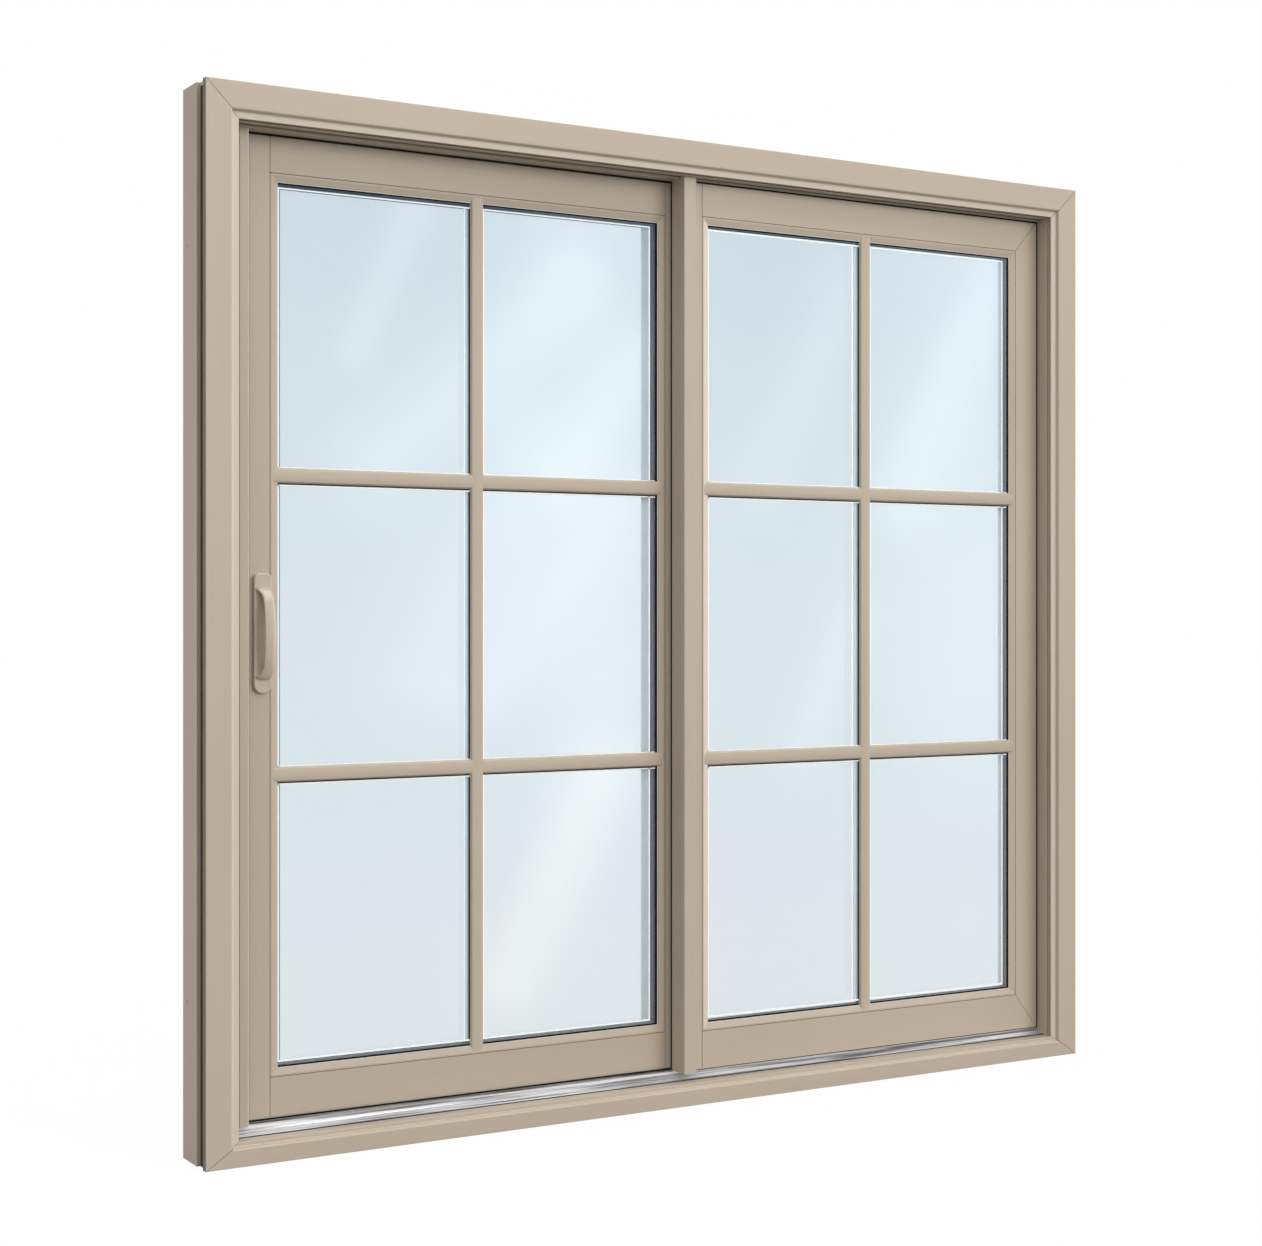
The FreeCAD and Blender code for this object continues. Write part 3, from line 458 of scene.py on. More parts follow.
def bar_shell(u_range, v_range, run, ends, ease=0.0):
    """Straight bar: a rectangle with eased corners in the two axes other than run, carried along run. Each
    corner is a quarter circle of the radius ease about its own centre."""
    turn = np.linspace(0, math.pi / 2, EASE_POINTS if ease else 1)
    profile = []
    for u, v, quarter in ((1, 1, 0), (0, 1, 1), (0, 0, 2), (1, 0, 3)):
        angle = turn + quarter * math.pi / 2
        profile.append(np.stack((u_range[u] + ease * (np.cos(angle) - (1 if u else -1)),
                                 v_range[v] + ease * (np.sin(angle) - (1 if v else -1))), axis=-1))
    return carried(np.concatenate(profile), run, ends)


def carried(profile, run, ends):
    """Profile of points in the two axes other than run, carried along run from end to end."""
    others = [axis for axis in range(3) if axis != run]
    shell = np.zeros((len(ends), len(profile), 3))
    shell[:, :, others] = np.asarray(profile)[None]
    shell[:, :, run] = np.asarray(ends)[:, None]
    return shell


def smooth_route(points, steps):
    """Curve through the middles of the runs: each corner is a parabola from the middle of the run before it
    to the middle of the run after it, and the first and last runs start and end at their own points."""
    points = np.asarray(points, float)
    middles = (points[:-1] + points[1:]) / 2
    starts = np.vstack((points[:1], middles[1:-1]))
    ends = np.vstack((middles[1:-1], points[-1:]))
    t = np.linspace(0, 1, steps, endpoint=False)[None, :, None]
    arcs = (1 - t) ** 2 * starts[:, None] + 2 * t * (1 - t) * points[1:-1, None] + t ** 2 * ends[:, None]
    return np.vstack((arcs.reshape(-1, points.shape[1]), points[-1:]))


PANELS = {"sliding_": "sliding_panel", "fixed_": "frame"}


def sight_opening(prefix):
    """Sides of the glass that shows between a panel's beads."""
    return {"left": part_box(prefix + "bead_left")[1].x, "right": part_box(prefix + "bead_right")[0].x,
            "bottom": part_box(prefix + "bead_bottom")[1].z, "top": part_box(prefix + "bead_top")[0].z}


def bead_outside(prefix):
    """Outer sides of a panel's beads."""
    return {"left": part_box(prefix + "bead_left")[0].x, "right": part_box(prefix + "bead_right")[1].x,
            "bottom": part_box(prefix + "bead_bottom")[0].z, "top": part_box(prefix + "bead_top")[1].z}


def bar_places(prefix):
    """Middle of a panel's upright bar and middles of its two cross bars."""
    low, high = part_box(prefix + "upright_bars")
    half = (high.x - low.x) / 2
    cross_low, cross_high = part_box(prefix + "cross_bars")
    return (low.x + high.x) / 2, (cross_low.z + half, cross_high.z - half)


# Seals and lines round the glass, where the seal by the bead is widened by painted shade and the pale lines
# are a painted highlight: how far in from the beads they reach, and how thick they are
# seal against the bead, wider on the sides where the glass edge shows shade: rubber and painted shade
BEAD_SEAL_AND_SHADE = {"left": 0.5 * MM, "right": 4.2 * MM, "bottom": 3.2 * MM, "top": 2.2 * MM}
BEAD_SEAL_HEIGHT = 1.0 * MM
SPACER_SHOW = 3.0 * MM
SEAL_BANDS = {"sliding_": (6.0 * MM, 7.2 * MM, 10.5 * MM), "fixed_": (3.4 * MM, 3.9 * MM, 4.4 * MM)}
LINE_START = {"left": 0.4 * MM, "right": 17.0 * MM, "bottom": 9.6 * MM, "top": 8.4 * MM}
LINE_WIDTH = {"left": 3.2 * MM, "right": 3.4 * MM, "bottom": 3.6 * MM, "top": 3.0 * MM}
LINE_HEIGHT = 0.15 * MM
FILM = 0.4 * MM
FILM_GAP = 0.05 * MM
RETURN_WIDTH = {"sliding_": 21.5 * MM, "fixed_": 15.5 * MM}
BAR_LINE = {"sliding_": (26.3 * MM, 28.8 * MM), "fixed_": (31.6 * MM, 35.6 * MM)}
# width of the dark strips at the feet of the bar covers: painted shade
BAR_SHADE_WIDTH = 2.0 * MM
BAR_LINE_BELOW = 2.8 * MM
BAR_LINE_ABOVE = 1.4 * MM
BAR_LINE_BESIDE = 2.4 * MM
RIM_RADIUS = 0.7 * MM
RIM_DEPTH = 3.9 * MM

# Covers over the glazing bars
COVER_HALF = 15.2 * MM
COVER_CREST = 11.4 * MM
COVER_RISE = 0.3 * MM
COVER_ROUND = 1.2 * MM
COVER_REACH = 0.9 * MM


def wider(insets, more):
    """Insets of every side, moved in by as much more."""
    more = side_values(more)
    return {side: insets[side] + more[side] for side in SIDES}


def edge_of_glass(prefix, body, opening, film):
    """Seal against the bead, widened by painted shade on the sides where the glass edge shows shade, bands at
    the edge of the unit, a pale line on the glass that is a painted highlight, and the rounded rim of the
    bead, pale as a painted highlight, as mitred rings, and the pale return on the room side, a flat bar."""
    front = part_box(prefix + "glass_outer")[0].y
    first, second, third = SEAL_BANDS[prefix]
    line_end = wider(LINE_START, LINE_WIDTH)
    bands = {
        # rubber seal, widened by painted shade
        "bead_seal_and_shade": ("rubber_and_shade", [flat_band(0, BEAD_SEAL_AND_SHADE, front - BEAD_SEAL_HEIGHT, front)]),
        "unit_seal": ("slate", [flat_band(SPACER_SHOW, first, *film), flat_band(second, third, *film)]),
        "unit_seal_lip": ("rubber_and_shade", [flat_band(first, second, *film)]),
        # pale line round the glass: painted highlight
        "glass_highlight_line": ("highlight_line", [flat_band(LINE_START, line_end, front - LINE_HEIGHT, front)]),
    }
    for name, (finish, profiles) in bands.items():
        shells = [ring_shell(opening, profile) for profile in profiles]
        make_piece(prefix + name, body, finish, shells, wrap_rows=True)
    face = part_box(prefix + "bead_left")[0].y
    # rounded rim of the bead, pale as a painted highlight
    rim = ring_shell(opening, round_band(-RIM_RADIUS, RIM_RADIUS, face + RIM_DEPTH))
    make_piece(prefix + "bead_rim", body, "lip", [rim], wrap_rows=True, sharp_degrees=60)
    right = opening["right"] - third
    levels = (opening["bottom"] + third, opening["top"] - third)
    make_piece(prefix + "room_return", body, "return",
               [bar_shell((right - RETURN_WIDTH[prefix], right), film, 2, levels)])


def bar_strips(prefix, body, opening):
    """Pale strips behind the outer glass, from under the left foot of the upright cover to the line beside
    it, between the cross covers. Each is a flat bar."""
    upright, crosses = bar_places(prefix)
    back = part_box(prefix + "glass_outer")[1].y
    layer = (back + FILM_GAP, back + FILM)
    edges = (upright - sum(BAR_LINE[prefix]) / 2, upright - COVER_CREST - COVER_ROUND)
    stops = [opening["bottom"] + LINE_START["bottom"], crosses[0] - COVER_HALF, crosses[0] + COVER_HALF,
             crosses[1] - COVER_HALF, crosses[1] + COVER_HALF, opening["top"] - LINE_START["top"]]
    make_piece(prefix + "bar_strips", body, "strip",
               [bar_shell(edges, layer, 2, ends) for ends in zip(stops[::2], stops[1::2])])


def cover_profile(middle, foot, top, depth_first):
    """Section of a bar cover: a flat crest with eased edges and two slopes down to its feet. It is listed as
    (depth, aside) where depth comes first, or else as (aside, depth)."""
    half = [(COVER_HALF, foot), (COVER_CREST + COVER_ROUND / 3, top + COVER_ROUND / 3),
            (COVER_CREST - COVER_ROUND / 2, top)]
    points = [(middle + aside, depth) for aside, depth in half]
    points += [(middle - aside, depth) for aside, depth in reversed(half)]
    return [point[::-1] for point in points] if depth_first else points


def bar_covers(prefix, body):
    """Covers over the outer glazing bars: the upright runs through and the cross covers end at its crest."""
    upright, crosses = bar_places(prefix)
    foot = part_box(prefix + "glass_outer")[0].y
    bar_low, bar_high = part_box(prefix + "upright_bars")
    cross_low, cross_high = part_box(prefix + "cross_bars")
    top = bar_low.y - COVER_RISE
    shells = [carried(cover_profile(upright, foot, top, False), 2,
                      (bar_low.z - COVER_REACH, bar_high.z + COVER_REACH))]
    for level in crosses:
        for ends in ((cross_low.x - COVER_REACH, upright - COVER_CREST),
                     (upright + COVER_CREST, cross_high.x + COVER_REACH)):
            shells.append(carried(cover_profile(level, foot, top, True), 0, ends))
    make_piece(prefix + "bar_covers", body, "upright", shells)


def bar_lines(prefix, body, opening):
    """Dark strips at the feet of the bar covers, painted shade, and pale lines beside them, painted
    highlight, as flat bars on the outer glass.
    """
    upright, crosses = bar_places(prefix)
    half = COVER_HALF
    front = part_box(prefix + "glass_outer")[0].y
    shade_layer = (front - BEAD_SEAL_HEIGHT, front)
    line_layer = (front - LINE_HEIGHT, front)
    spans = ((opening["left"], upright - half), (upright + half, opening["right"]))
    seals = []
    lines = []
    for level in crosses:
        foot = level - half
        for span in spans:
            # dark strip under each cross cover: painted shade
            seals.append(bar_shell(shade_layer, (foot - BAR_SHADE_WIDTH, foot), 0, span))
            # pale lines below and above the cross covers: painted highlight
            under = foot - BAR_SHADE_WIDTH
            lines.append(bar_shell(line_layer, (under - BAR_LINE_BELOW, under), 0, span))
            lines.append(bar_shell(line_layer, (level + half, level + half + BAR_LINE_ABOVE), 0, span))
    make_piece(prefix + "cross_highlight_lines", body, "highlight_line", lines)
    near, far = BAR_LINE[prefix]
    stops = [opening["bottom"] + LINE_START["bottom"] + LINE_WIDTH["bottom"]]
    for level in crosses:
        stops += [level - half - BAR_SHADE_WIDTH - BAR_LINE_BELOW, level + half + BAR_LINE_ABOVE]
    stops.append(opening["top"] - LINE_START["top"] - LINE_WIDTH["top"])
    shells = []
    for ends in zip(stops[::2], stops[1::2]):
        # pale lines beside the upright cover: painted highlight
        shells.append(bar_shell((upright - far, upright - near), line_layer, 2, ends))
        shells.append(bar_shell((upright + half, upright + half + BAR_LINE_BESIDE), line_layer, 2, ends))
        # dark strip at the left foot of the upright cover: painted shade
        seals.append(bar_shell((upright - half - BAR_SHADE_WIDTH, upright - half), shade_layer, 2, ends))
    make_piece(prefix + "upright_highlight_lines", body, "highlight_line", shells)
    make_piece(prefix + "bar_foot_shade", body, "rubber_and_shade", seals)


def glazing_trim(prefix, body):
    """Everything thin that shows round a panel's glass."""
    opening = sight_opening(prefix)
    cavity_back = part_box(prefix + "glass_inner")[0].y
    film = (cavity_back - FILM, cavity_back - FILM_GAP)
    edge_of_glass(prefix, body, opening, film)
    bar_strips(prefix, body, opening)
    bar_covers(prefix, body)
    bar_lines(prefix, body, opening)


# Seals and sweeps in the gaps of the frame, and dark fins there that are painted shade
HEAD_SEAL_DROP = 3.0 * MM
GAP_CLEAR = 0.5 * MM
SLIT_SETBACK = 2.5 * MM
FIN = 1.5 * MM
PILE_WIDTH = 4.0 * MM
SWEEP_DEPTH = 3.0 * MM
SWEEP_DROP = 1.8 * MM
SWEEP_PILE = 3.8 * MM
POST_WIDTH = 30.0 * MM
FOOT_SHADE_FIN = 1.4 * MM
SEAL_EASE = 0.4 * MM


def gap_seals():
    """Pile and rubber in the gaps between the frame and the panels. The piles are weatherstrip; the black
    rubber fins, and the pile under the head, are put where the gaps show shade, as painted shade. Each is an
    eased bar along its gap.
    """
    slide_low, slide_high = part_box("sliding_lock_stile")
    slide_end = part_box("sliding_interlock_stile")[1]
    fixed_low, fixed_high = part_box("fixed_jamb_stile")
    post_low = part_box("fixed_meeting_stile")[0]
    cover_low, cover_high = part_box("jamb_cover")
    head_low, head_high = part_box("head_jamb")
    stop_low, stop_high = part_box("lock_jamb_stop")
    soffit = head_low.z
    rise = (slide_low.z, soffit - HEAD_SEAL_DROP)
    gap = (fixed_high.y + GAP_CLEAR, slide_low.y - GAP_CLEAR)
    head_drop = (soffit - HEAD_SEAL_DROP, soffit)
    sweep = (slide_low.y + GAP_CLEAR, slide_low.y + SWEEP_DEPTH)
    sweep_ends = (slide_low.x + FIN, slide_end.x - FIN)
    track_low, track_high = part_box("sill_track")
    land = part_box("sill")[1].z
    seals = {
        # the pile under the head is weatherstrip and painted shade; the rubber fins are painted shade in the
        # gaps
        "slide_head_seal": ("frame", "pile", gap, head_drop, 0, (cover_low.x, post_low.x)),
        "fixed_head_shade_fin": ("frame", "rubber_and_shade", (fixed_low.y - 2 * FIN, fixed_low.y), head_drop, 0,
                            (post_low.x + POST_WIDTH + FIN, fixed_high.x)),
        "fixed_foot_shade_fin": ("frame", "rubber_and_shade", (fixed_low.y - FIN, fixed_low.y),
                            (fixed_low.z, fixed_low.z + FOOT_SHADE_FIN), 0,
                            (post_low.x + POST_WIDTH, fixed_high.x)),
        "jamb_slit_shade_fin": ("frame", "rubber_and_shade", (fixed_high.x, head_high.x),
                           (fixed_low.y + SLIT_SETBACK, fixed_high.y), 2, (fixed_low.z, soffit)),
        "cover_shade_fin": ("frame", "rubber_and_shade", (cover_high.x, cover_high.x + FIN),
                       (cover_low.y + FIN, cover_low.y + FIN + PILE_WIDTH), 2, rise),
        "meeting_pile": ("frame", "pile", (post_low.x + GAP_CLEAR, post_low.x + PILE_WIDTH), gap, 2, rise),
        "interlock_pile": ("sliding_panel", "pile", (slide_end.x - 2 * PILE_WIDTH, slide_end.x - PILE_WIDTH),
                           (gap[0], slide_low.y), 2, rise),
        "lock_side_pile": ("frame", "pile", (stop_high.x - 2 * PILE_WIDTH, stop_high.x - PILE_WIDTH),
                           (slide_high.y + GAP_CLEAR, stop_low.y), 2, rise),
        # the sweep takes the darker copy of the cladding: painted shade
        "bottom_sweep": ("sliding_panel", "slide_level", sweep,
                         (slide_low.z - SWEEP_DROP, slide_low.z), 0, sweep_ends),
        "bottom_pile": ("sliding_panel", "pile", sweep,
                        (slide_low.z - SWEEP_DROP - SWEEP_PILE, slide_low.z - SWEEP_DROP), 0, sweep_ends),
        "track_joint_shade": ("frame", "rubber_and_shade", (track_low.y - FIN, track_low.y),
                        (land, land + FIN), 0, (track_low.x, track_high.x)),
    }
    for name, (body, finish, u_range, v_range, run, ends) in seals.items():
        slot = "cladding" if finish == "slide_level" else "spacer"
        make_piece(name, body, finish, [bar_shell(u_range, v_range, run, ends, SEAL_EASE)])


# Pull handles
PLATE_TOP_ROUND = 11.0 * MM
PLATE_FOOT_ROUND = 17.5 * MM
PLATE_THICKNESS = 10.0 * MM
PLATE_EDGE = 2.6 * MM
ARCH_REACH = 25.2 * MM
ARCH_HALF_LENGTH = 84.0 * MM
ARCH_ROOT = 3.0 * MM
GRIP_WIDTH = 22.0 * MM
GRIP_DEPTH = 9.2 * MM
FOOT_WIDTH = 31.5 * MM
FOOT_DEPTH = 11.0 * MM
FOOT_REACH = 17.0 * MM
SECTION_POWER = 2.15
GRIP_LEAN = 5.0 * MM
PLATE_CAP = 1.6 * PLATE_EDGE
PLATE_CORNER_POINTS = 10
PLATE_EDGE_POINTS = 7
GRIP_ROWS = 73
GRIP_POINTS = 40


def plate_outline(half_width, half_length, inset):
    """Rounded rectangle moved in by inset: each corner is a quarter circle about its own centre."""
    corners = ((1, 1, PLATE_TOP_ROUND, 0), (-1, 1, PLATE_TOP_ROUND, 1), (-1, -1, PLATE_FOOT_ROUND, 2),
               (1, -1, PLATE_FOOT_ROUND, 3))
    turn = np.linspace(0, math.pi / 2, PLATE_CORNER_POINTS)
    arcs = []
    for across, up, radius, quarter in corners:
        angle = turn + quarter * math.pi / 2
        arcs.append(np.stack((across * (half_width - radius) + (radius - inset) * np.cos(angle),
                              up * (half_length - radius) + (radius - inset) * np.sin(angle)), axis=-1))
    return np.concatenate(arcs)


def plate_shell(half_width, half_length):
    """Plate, as (across, out, up): its outline moved in along a quarter circle at the front edge."""
    bend = np.linspace(0, math.pi / 2, PLATE_EDGE_POINTS)
    insets = np.concatenate(([0], PLATE_EDGE * (1 - np.cos(bend)), [PLATE_CAP]))
    outs = np.concatenate(([0], PLATE_THICKNESS - PLATE_EDGE * (1 - np.sin(bend)), [PLATE_THICKNESS]))
    rows = []
    for inset, out in zip(insets, outs):
        outline = plate_outline(half_width, half_length, inset)
        rows.append(np.stack((outline[:, 0], np.full(len(outline), out), outline[:, 1]), axis=-1))
    return np.array(rows)


def grip_shell():
    """Grip, as (across, out, up): a super-ellipse carried along half an ellipse that starts inside the plate,
    wider and deeper towards its two feet, and leaning to one side between them."""
    root = math.asin(ARCH_ROOT / ARCH_REACH)
    turn = np.linspace(-root, math.pi + root, GRIP_ROWS)
    out = ARCH_REACH * np.sin(turn)
    up = ARCH_HALF_LENGTH * np.cos(turn)
    normal = np.stack((ARCH_HALF_LENGTH * np.sin(turn), ARCH_REACH * np.cos(turn)), axis=-1)
    normal /= np.linalg.norm(normal, axis=1, keepdims=True)
    slim = np.clip(out / FOOT_REACH, 0, 1)
    slim = slim * slim * (3 - 2 * slim)
    half_width = (FOOT_WIDTH + (GRIP_WIDTH - FOOT_WIDTH) * slim) / 2
    half_depth = (FOOT_DEPTH + (GRIP_DEPTH - FOOT_DEPTH) * slim) / 2
    angle = np.linspace(0, 2 * math.pi, GRIP_POINTS, endpoint=False)
    across = np.sign(np.cos(angle)) * np.abs(np.cos(angle)) ** (2 / SECTION_POWER)
    thick = np.sign(np.sin(angle)) * np.abs(np.sin(angle)) ** (2 / SECTION_POWER)
    lift = half_depth[:, None] * thick
    return np.stack((half_width[:, None] * across + GRIP_LEAN * slim[:, None],
                     PLATE_THICKNESS + out[:, None] + normal[:, :1] * lift,
                     up[:, None] + normal[:, 1:] * lift), axis=-1)


def pull_handle(name, node, body, face, outward):
    """Cast pull in the place of its node: plate and grip, turned to face out or in."""
    low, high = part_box(node)
    middle = np.array([(low.x + high.x) / 2, face, (low.z + high.z) / 2])
    turned = np.array([1, outward, 1])
    shells = [plate_shell((high.x - low.x) / 2, (high.z - low.z) / 2), grip_shell()]
    piece = make_piece(name, body, "handle", [shell * turned + middle for shell in shells])
    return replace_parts(piece, node)


# Screws; the parts of the recess are shares of the radius
SCREW_RADIUS = 3.4 * MM
SCREW_RISE = 0.5 * MM
SCREW_DOME_POWER = 4
SCREW_RECESS = 1.0 * MM
RECESS_CORE = 0.22
RECESS_ARM = 0.36
RECESS_ARM_POWER = 6
RECESS_WALL = 0.12
RECESS_FLOOR_RISE = 0.3
SCREW_CENTRE = 0.02
SCREW_RINGS = 12
SCREW_POINTS = 48
LOCK_SCREW_SPREAD = 60.0 * MM
PLATE_SCREW_SPREAD = 100.0 * MM


def screw_shell(place, out, along):
    """Low domed screw head with a cross recess. Its height over radius and angle is a dome less a recess
    whose reach is longest at the four quarters of the turn."""
    rings = np.linspace(1, SCREW_CENTRE, SCREW_RINGS)
    turns = np.linspace(0, 2 * math.pi, SCREW_POINTS, endpoint=False)
    radius, angle = np.meshgrid(rings, turns, indexing="ij")
    reach = RECESS_CORE + RECESS_ARM * np.abs(np.cos(2 * angle)) ** RECESS_ARM_POWER
    dip = np.clip((reach - radius) / RECESS_WALL, 0, 1)
    dome = SCREW_RISE * (1 - radius ** SCREW_DOME_POWER)
    height = dome - SCREW_RECESS * dip * (1 - RECESS_FLOOR_RISE * radius)
    height[0] = -SCREW_RISE
    along, out = np.asarray(along, float), np.asarray(out, float)
    aside = np.cross(out, along)
    return (np.asarray(place) + SCREW_RADIUS * (radius * np.cos(angle))[..., None] * along
            + SCREW_RADIUS * (radius * np.sin(angle))[..., None] * aside + height[..., None] * out)


def screws():
    """Screws of the lock plate, the strike plate and the inside pull."""
    up = (0, 0, 1)
    for name, node, body, out in (("lock_screws", "lock_plate", "sliding_panel", -1),
                                  ("strike_screws", "strike_plate", "frame", 1)):
        low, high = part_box(node)
        face = low.x if out < 0 else high.x
        middle = (low.z + high.z) / 2
        places = [(face, (low.y + high.y) / 2, middle + side * LOCK_SCREW_SPREAD) for side in (-1, 1)]
        shells = [screw_shell(place, (out, 0, 0), up) for place in places]
        make_piece(name, body, "steel", shells)
    low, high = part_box("interior_handle")
    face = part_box("sliding_lock_stile")[1].y + PLATE_THICKNESS
    middle = (low.z + high.z) / 2
    places = [((low.x + high.x) / 2, face, middle + side * PLATE_SCREW_SPREAD) for side in (-1, 1)]
    make_piece("pull_screws", "sliding_panel", "steel",
               [screw_shell(place, (0, 1, 0), up) for place in places])


# Joint lines: widths, how far they stand out and sink in, and shares of the way across a casing or a bead
SEAM_WIDTH = 0.9 * MM
BEAD_SEAM_WIDTH = 1.2 * MM
SEAM_PROUD = 0.03 * MM
SEAM_SINK = 0.5 * MM
CASING_SEAM_ENDS = (0.02, 0.985)
CASING_FLAT = 52.0 / 68.0
CASING_STEP = 55.5 / 68.0
CASING_EASE = 4.0 * MM
CASING_EASE_PAST = 0.2
CASING_ARC_POINTS = 5
CORNER_SEAM_ENDS = (0.03, 0.97)
BEAD_SEAM_ENDS = (0.02, 0.97)
BEAD_FLAT = 4.0 / 17.0
BEAD_DIP = 0.2 * MM
BEAD_FALL = 4.5 * MM


def seam_shell(start, end, route, width):
    """Thin ribbon across the front from start to end, given as (x, z). The route gives shares of the way and
    the depth there, and the ribbon follows the route just proud of it."""
    start, end = np.asarray(start), np.asarray(end)
    along = end - start
    aside = np.array([-along[1], along[0]]) / np.linalg.norm(along) * width / 2
    route = np.asarray(route)
    middle = start + route[:, :1] * along
    rows = []
    for way, lift in ((-1, SEAM_SINK), (-1, -SEAM_PROUD), (1, -SEAM_PROUD), (1, SEAM_SINK)):
        place = middle + way * aside
        rows.append(np.stack((place[:, 0], route[:, 1] + lift, place[:, 1]), axis=-1))
    return np.stack(rows, axis=1)


def corner_seams(outer, inner, route, width):
    """Ribbons from four outer corners to the inner ones, by their sides."""
    return [seam_shell((outer[side], outer[level]), (inner[side], inner[level]), route, width)
            for side in ("left", "right") for level in ("bottom", "top")]


def casing_seams():
    """Mitre lines of the casing, from outer to inner corners, over the flat, the step and the ledge."""
    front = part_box("head_casing")[0].y
    ledge = front + CASING_LEDGE
    outer = {"left": cad_low.x, "right": cad_high.x, "bottom": cad_low.z, "top": cad_high.z}
    inner = {"left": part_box("left_casing")[1].x, "right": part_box("right_casing")[0].x,
             "bottom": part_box("sill_casing")[1].z, "top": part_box("head_casing")[0].z}
    ease = CASING_EASE / (inner["left"] - outer["left"])
    start, end = CASING_SEAM_ENDS
    corners = [(start, front), (CASING_FLAT - ease, front), (CASING_FLAT + ease * CASING_EASE_PAST, front),
               (CASING_STEP, ledge), (CASING_STEP + ease, ledge), (end, ledge)]
    route = smooth_route(corners, CASING_ARC_POINTS)
    make_piece("casing_seams", "frame", "seam", corner_seams(outer, inner, route, SEAM_WIDTH))


def fixed_corner_seams():
    """Mitre lines at the right corners of the fixed panel."""
    low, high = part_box("fixed_jamb_stile")
    bead_low, bead_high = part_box("fixed_bead_right")
    route = [(share, low.y) for share in CORNER_SEAM_ENDS]
    shells = [seam_shell((high.x, outer), (bead_high.x, inner), route, SEAM_WIDTH)
              for outer, inner in ((low.z, bead_low.z), (high.z, bead_high.z))]
    make_piece("fixed_corner_seams", "frame", "seam", shells)


def bead_seams(prefix, body):
    """Mitre lines of a panel's beads, over their flat and their fall."""
    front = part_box(prefix + "bead_left")[0].y
    start, end = BEAD_SEAM_ENDS
    route = [(start, front), (BEAD_FLAT, front + BEAD_DIP), (end, front + BEAD_FALL)]
    shells = corner_seams(bead_outside(prefix), sight_opening(prefix), route, BEAD_SEAM_WIDTH)
    make_piece(prefix + "bead_seams", body, "seam", shells)


def edge_line(x, z_ends, depth):
    """Upright joint line at a place along the door, from one height to another."""
    return seam_shell((x, z_ends[0]), (x, z_ends[1]), [(0.0, depth), (1.0, depth)], SEAM_WIDTH)


def panel_joints(prefix, body, stiles):
    """Lines where the rails butt against the stiles, and round the outside of the beads."""
    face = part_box(prefix + "bead_left")[0].y
    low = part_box(prefix + "bottom_rail")[0].z
    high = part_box(prefix + "top_rail")[1].z
    beads = bead_outside(prefix)
    shells = []
    for x in (beads[side] for side in stiles):
        shells += [edge_line(x, (low, beads["bottom"]), face), edge_line(x, (beads["top"], high), face)]
    make_piece(prefix + "rail_seams", body, "seam", shells)
    band = flat_band(-SEAM_WIDTH / 2, SEAM_WIDTH / 2, face - SEAM_PROUD, face + SEAM_SINK)
    make_piece(prefix + "bead_outline", body, "seam", [ring_shell(beads, band)], wrap_rows=True)


# Dark lines in the reveals beside the ribs, painted shade, by how far they lie behind the casing, and dark
# liners in the grooves of the outer sides, painted shade
RIB_LINES = ((-0.6 * MM, 0.6 * MM), (4.4 * MM, 6.0 * MM), (16.0 * MM, 17.6 * MM))
STOP_LINE = (31.9 * MM, 34.5 * MM)
LINE_THICKNESS = 0.6 * MM
COVER_SHADE_LINE = 19.0 * MM
COVER_LIP = 2.2 * MM
EDGE_GROOVE = (3.4 * MM, 7.6 * MM)
EDGE_GROOVE_DEPTH = 2.0 * MM
WALL_GROOVE = (16.0 * MM, 48.0 * MM)
WALL_GROOVE_DEPTH = 7.5 * MM
LINER = 0.4 * MM


def reveal_shade_lines():
    """Dark lines in the corners beside the rib of the head and the jambs, painted shade. Each is a thin bar
    along them.
    """
    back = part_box("head_casing")[1].y
    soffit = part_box("head_casing")[0].z
    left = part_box("left_casing")[1].x
    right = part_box("right_casing")[0].x
    rise = (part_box("sill")[1].z, soffit)
    shells = []
    for near, far in RIB_LINES:
        layer = (back + near, back + far)
        shells.append(bar_shell(layer, (soffit - LINE_THICKNESS, soffit), 0, (left, right)))
        shells.append(bar_shell((left, left + LINE_THICKNESS), layer, 2, rise))
        shells.append(bar_shell((right - LINE_THICKNESS, right), layer, 2, rise))
    layer = (back + STOP_LINE[0], back + STOP_LINE[1])
    shells.append(bar_shell(layer, (soffit - 2 * LINE_THICKNESS, soffit), 0, (left, right)))
    make_piece("reveal_shade_lines", "frame", "rib_shade", shells)


def jamb_cover_trim():
    """Dark line down the jamb cover, painted shade where the casing's edge shades it, and the rounded lip at
    its right edge, which is an eased bar, pale as a painted highlight.
    """
    low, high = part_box("jamb_cover")
    rise = (low.z, high.z)
    # dark line where the casing's edge shades the cover: painted shade
    make_piece("cover_shade_line", "frame", "seam", [edge_line(low.x + COVER_SHADE_LINE, rise, low.y)])
    # rounded lip at the cover's edge, pale as a painted highlight
    proud = COVER_LIP / 3
    lip = bar_shell((high.x - COVER_LIP, high.x), (low.y - proud, low.y + COVER_LIP), 2, rise, proud)
    make_piece("cover_lip", "frame", "lip", [lip])


def groove_shade_liners():
    """Dark liners on the floors of the grooves round the outside of the frame: painted shade."""
    front = cad_low.y
    for name, finish, (near, far), depth in (("edge_shade_liner", "seam", EDGE_GROOVE, EDGE_GROOVE_DEPTH),
                                             ("wall_shade_liner", "groove_shade", WALL_GROOVE, WALL_GROOVE_DEPTH)):
        layer = (front + near, front + far)
        left, right, top = cad_low.x + depth, cad_high.x - depth, cad_high.z - depth
        make_piece(name, "frame", finish,
                   [bar_shell((left - LINER, left), layer, 2, (cad_low.z, top)),
                    bar_shell((right, right + LINER), layer, 2, (cad_low.z, top)),
                    bar_shell(layer, (top, top + LINER), 0, (left, right))])


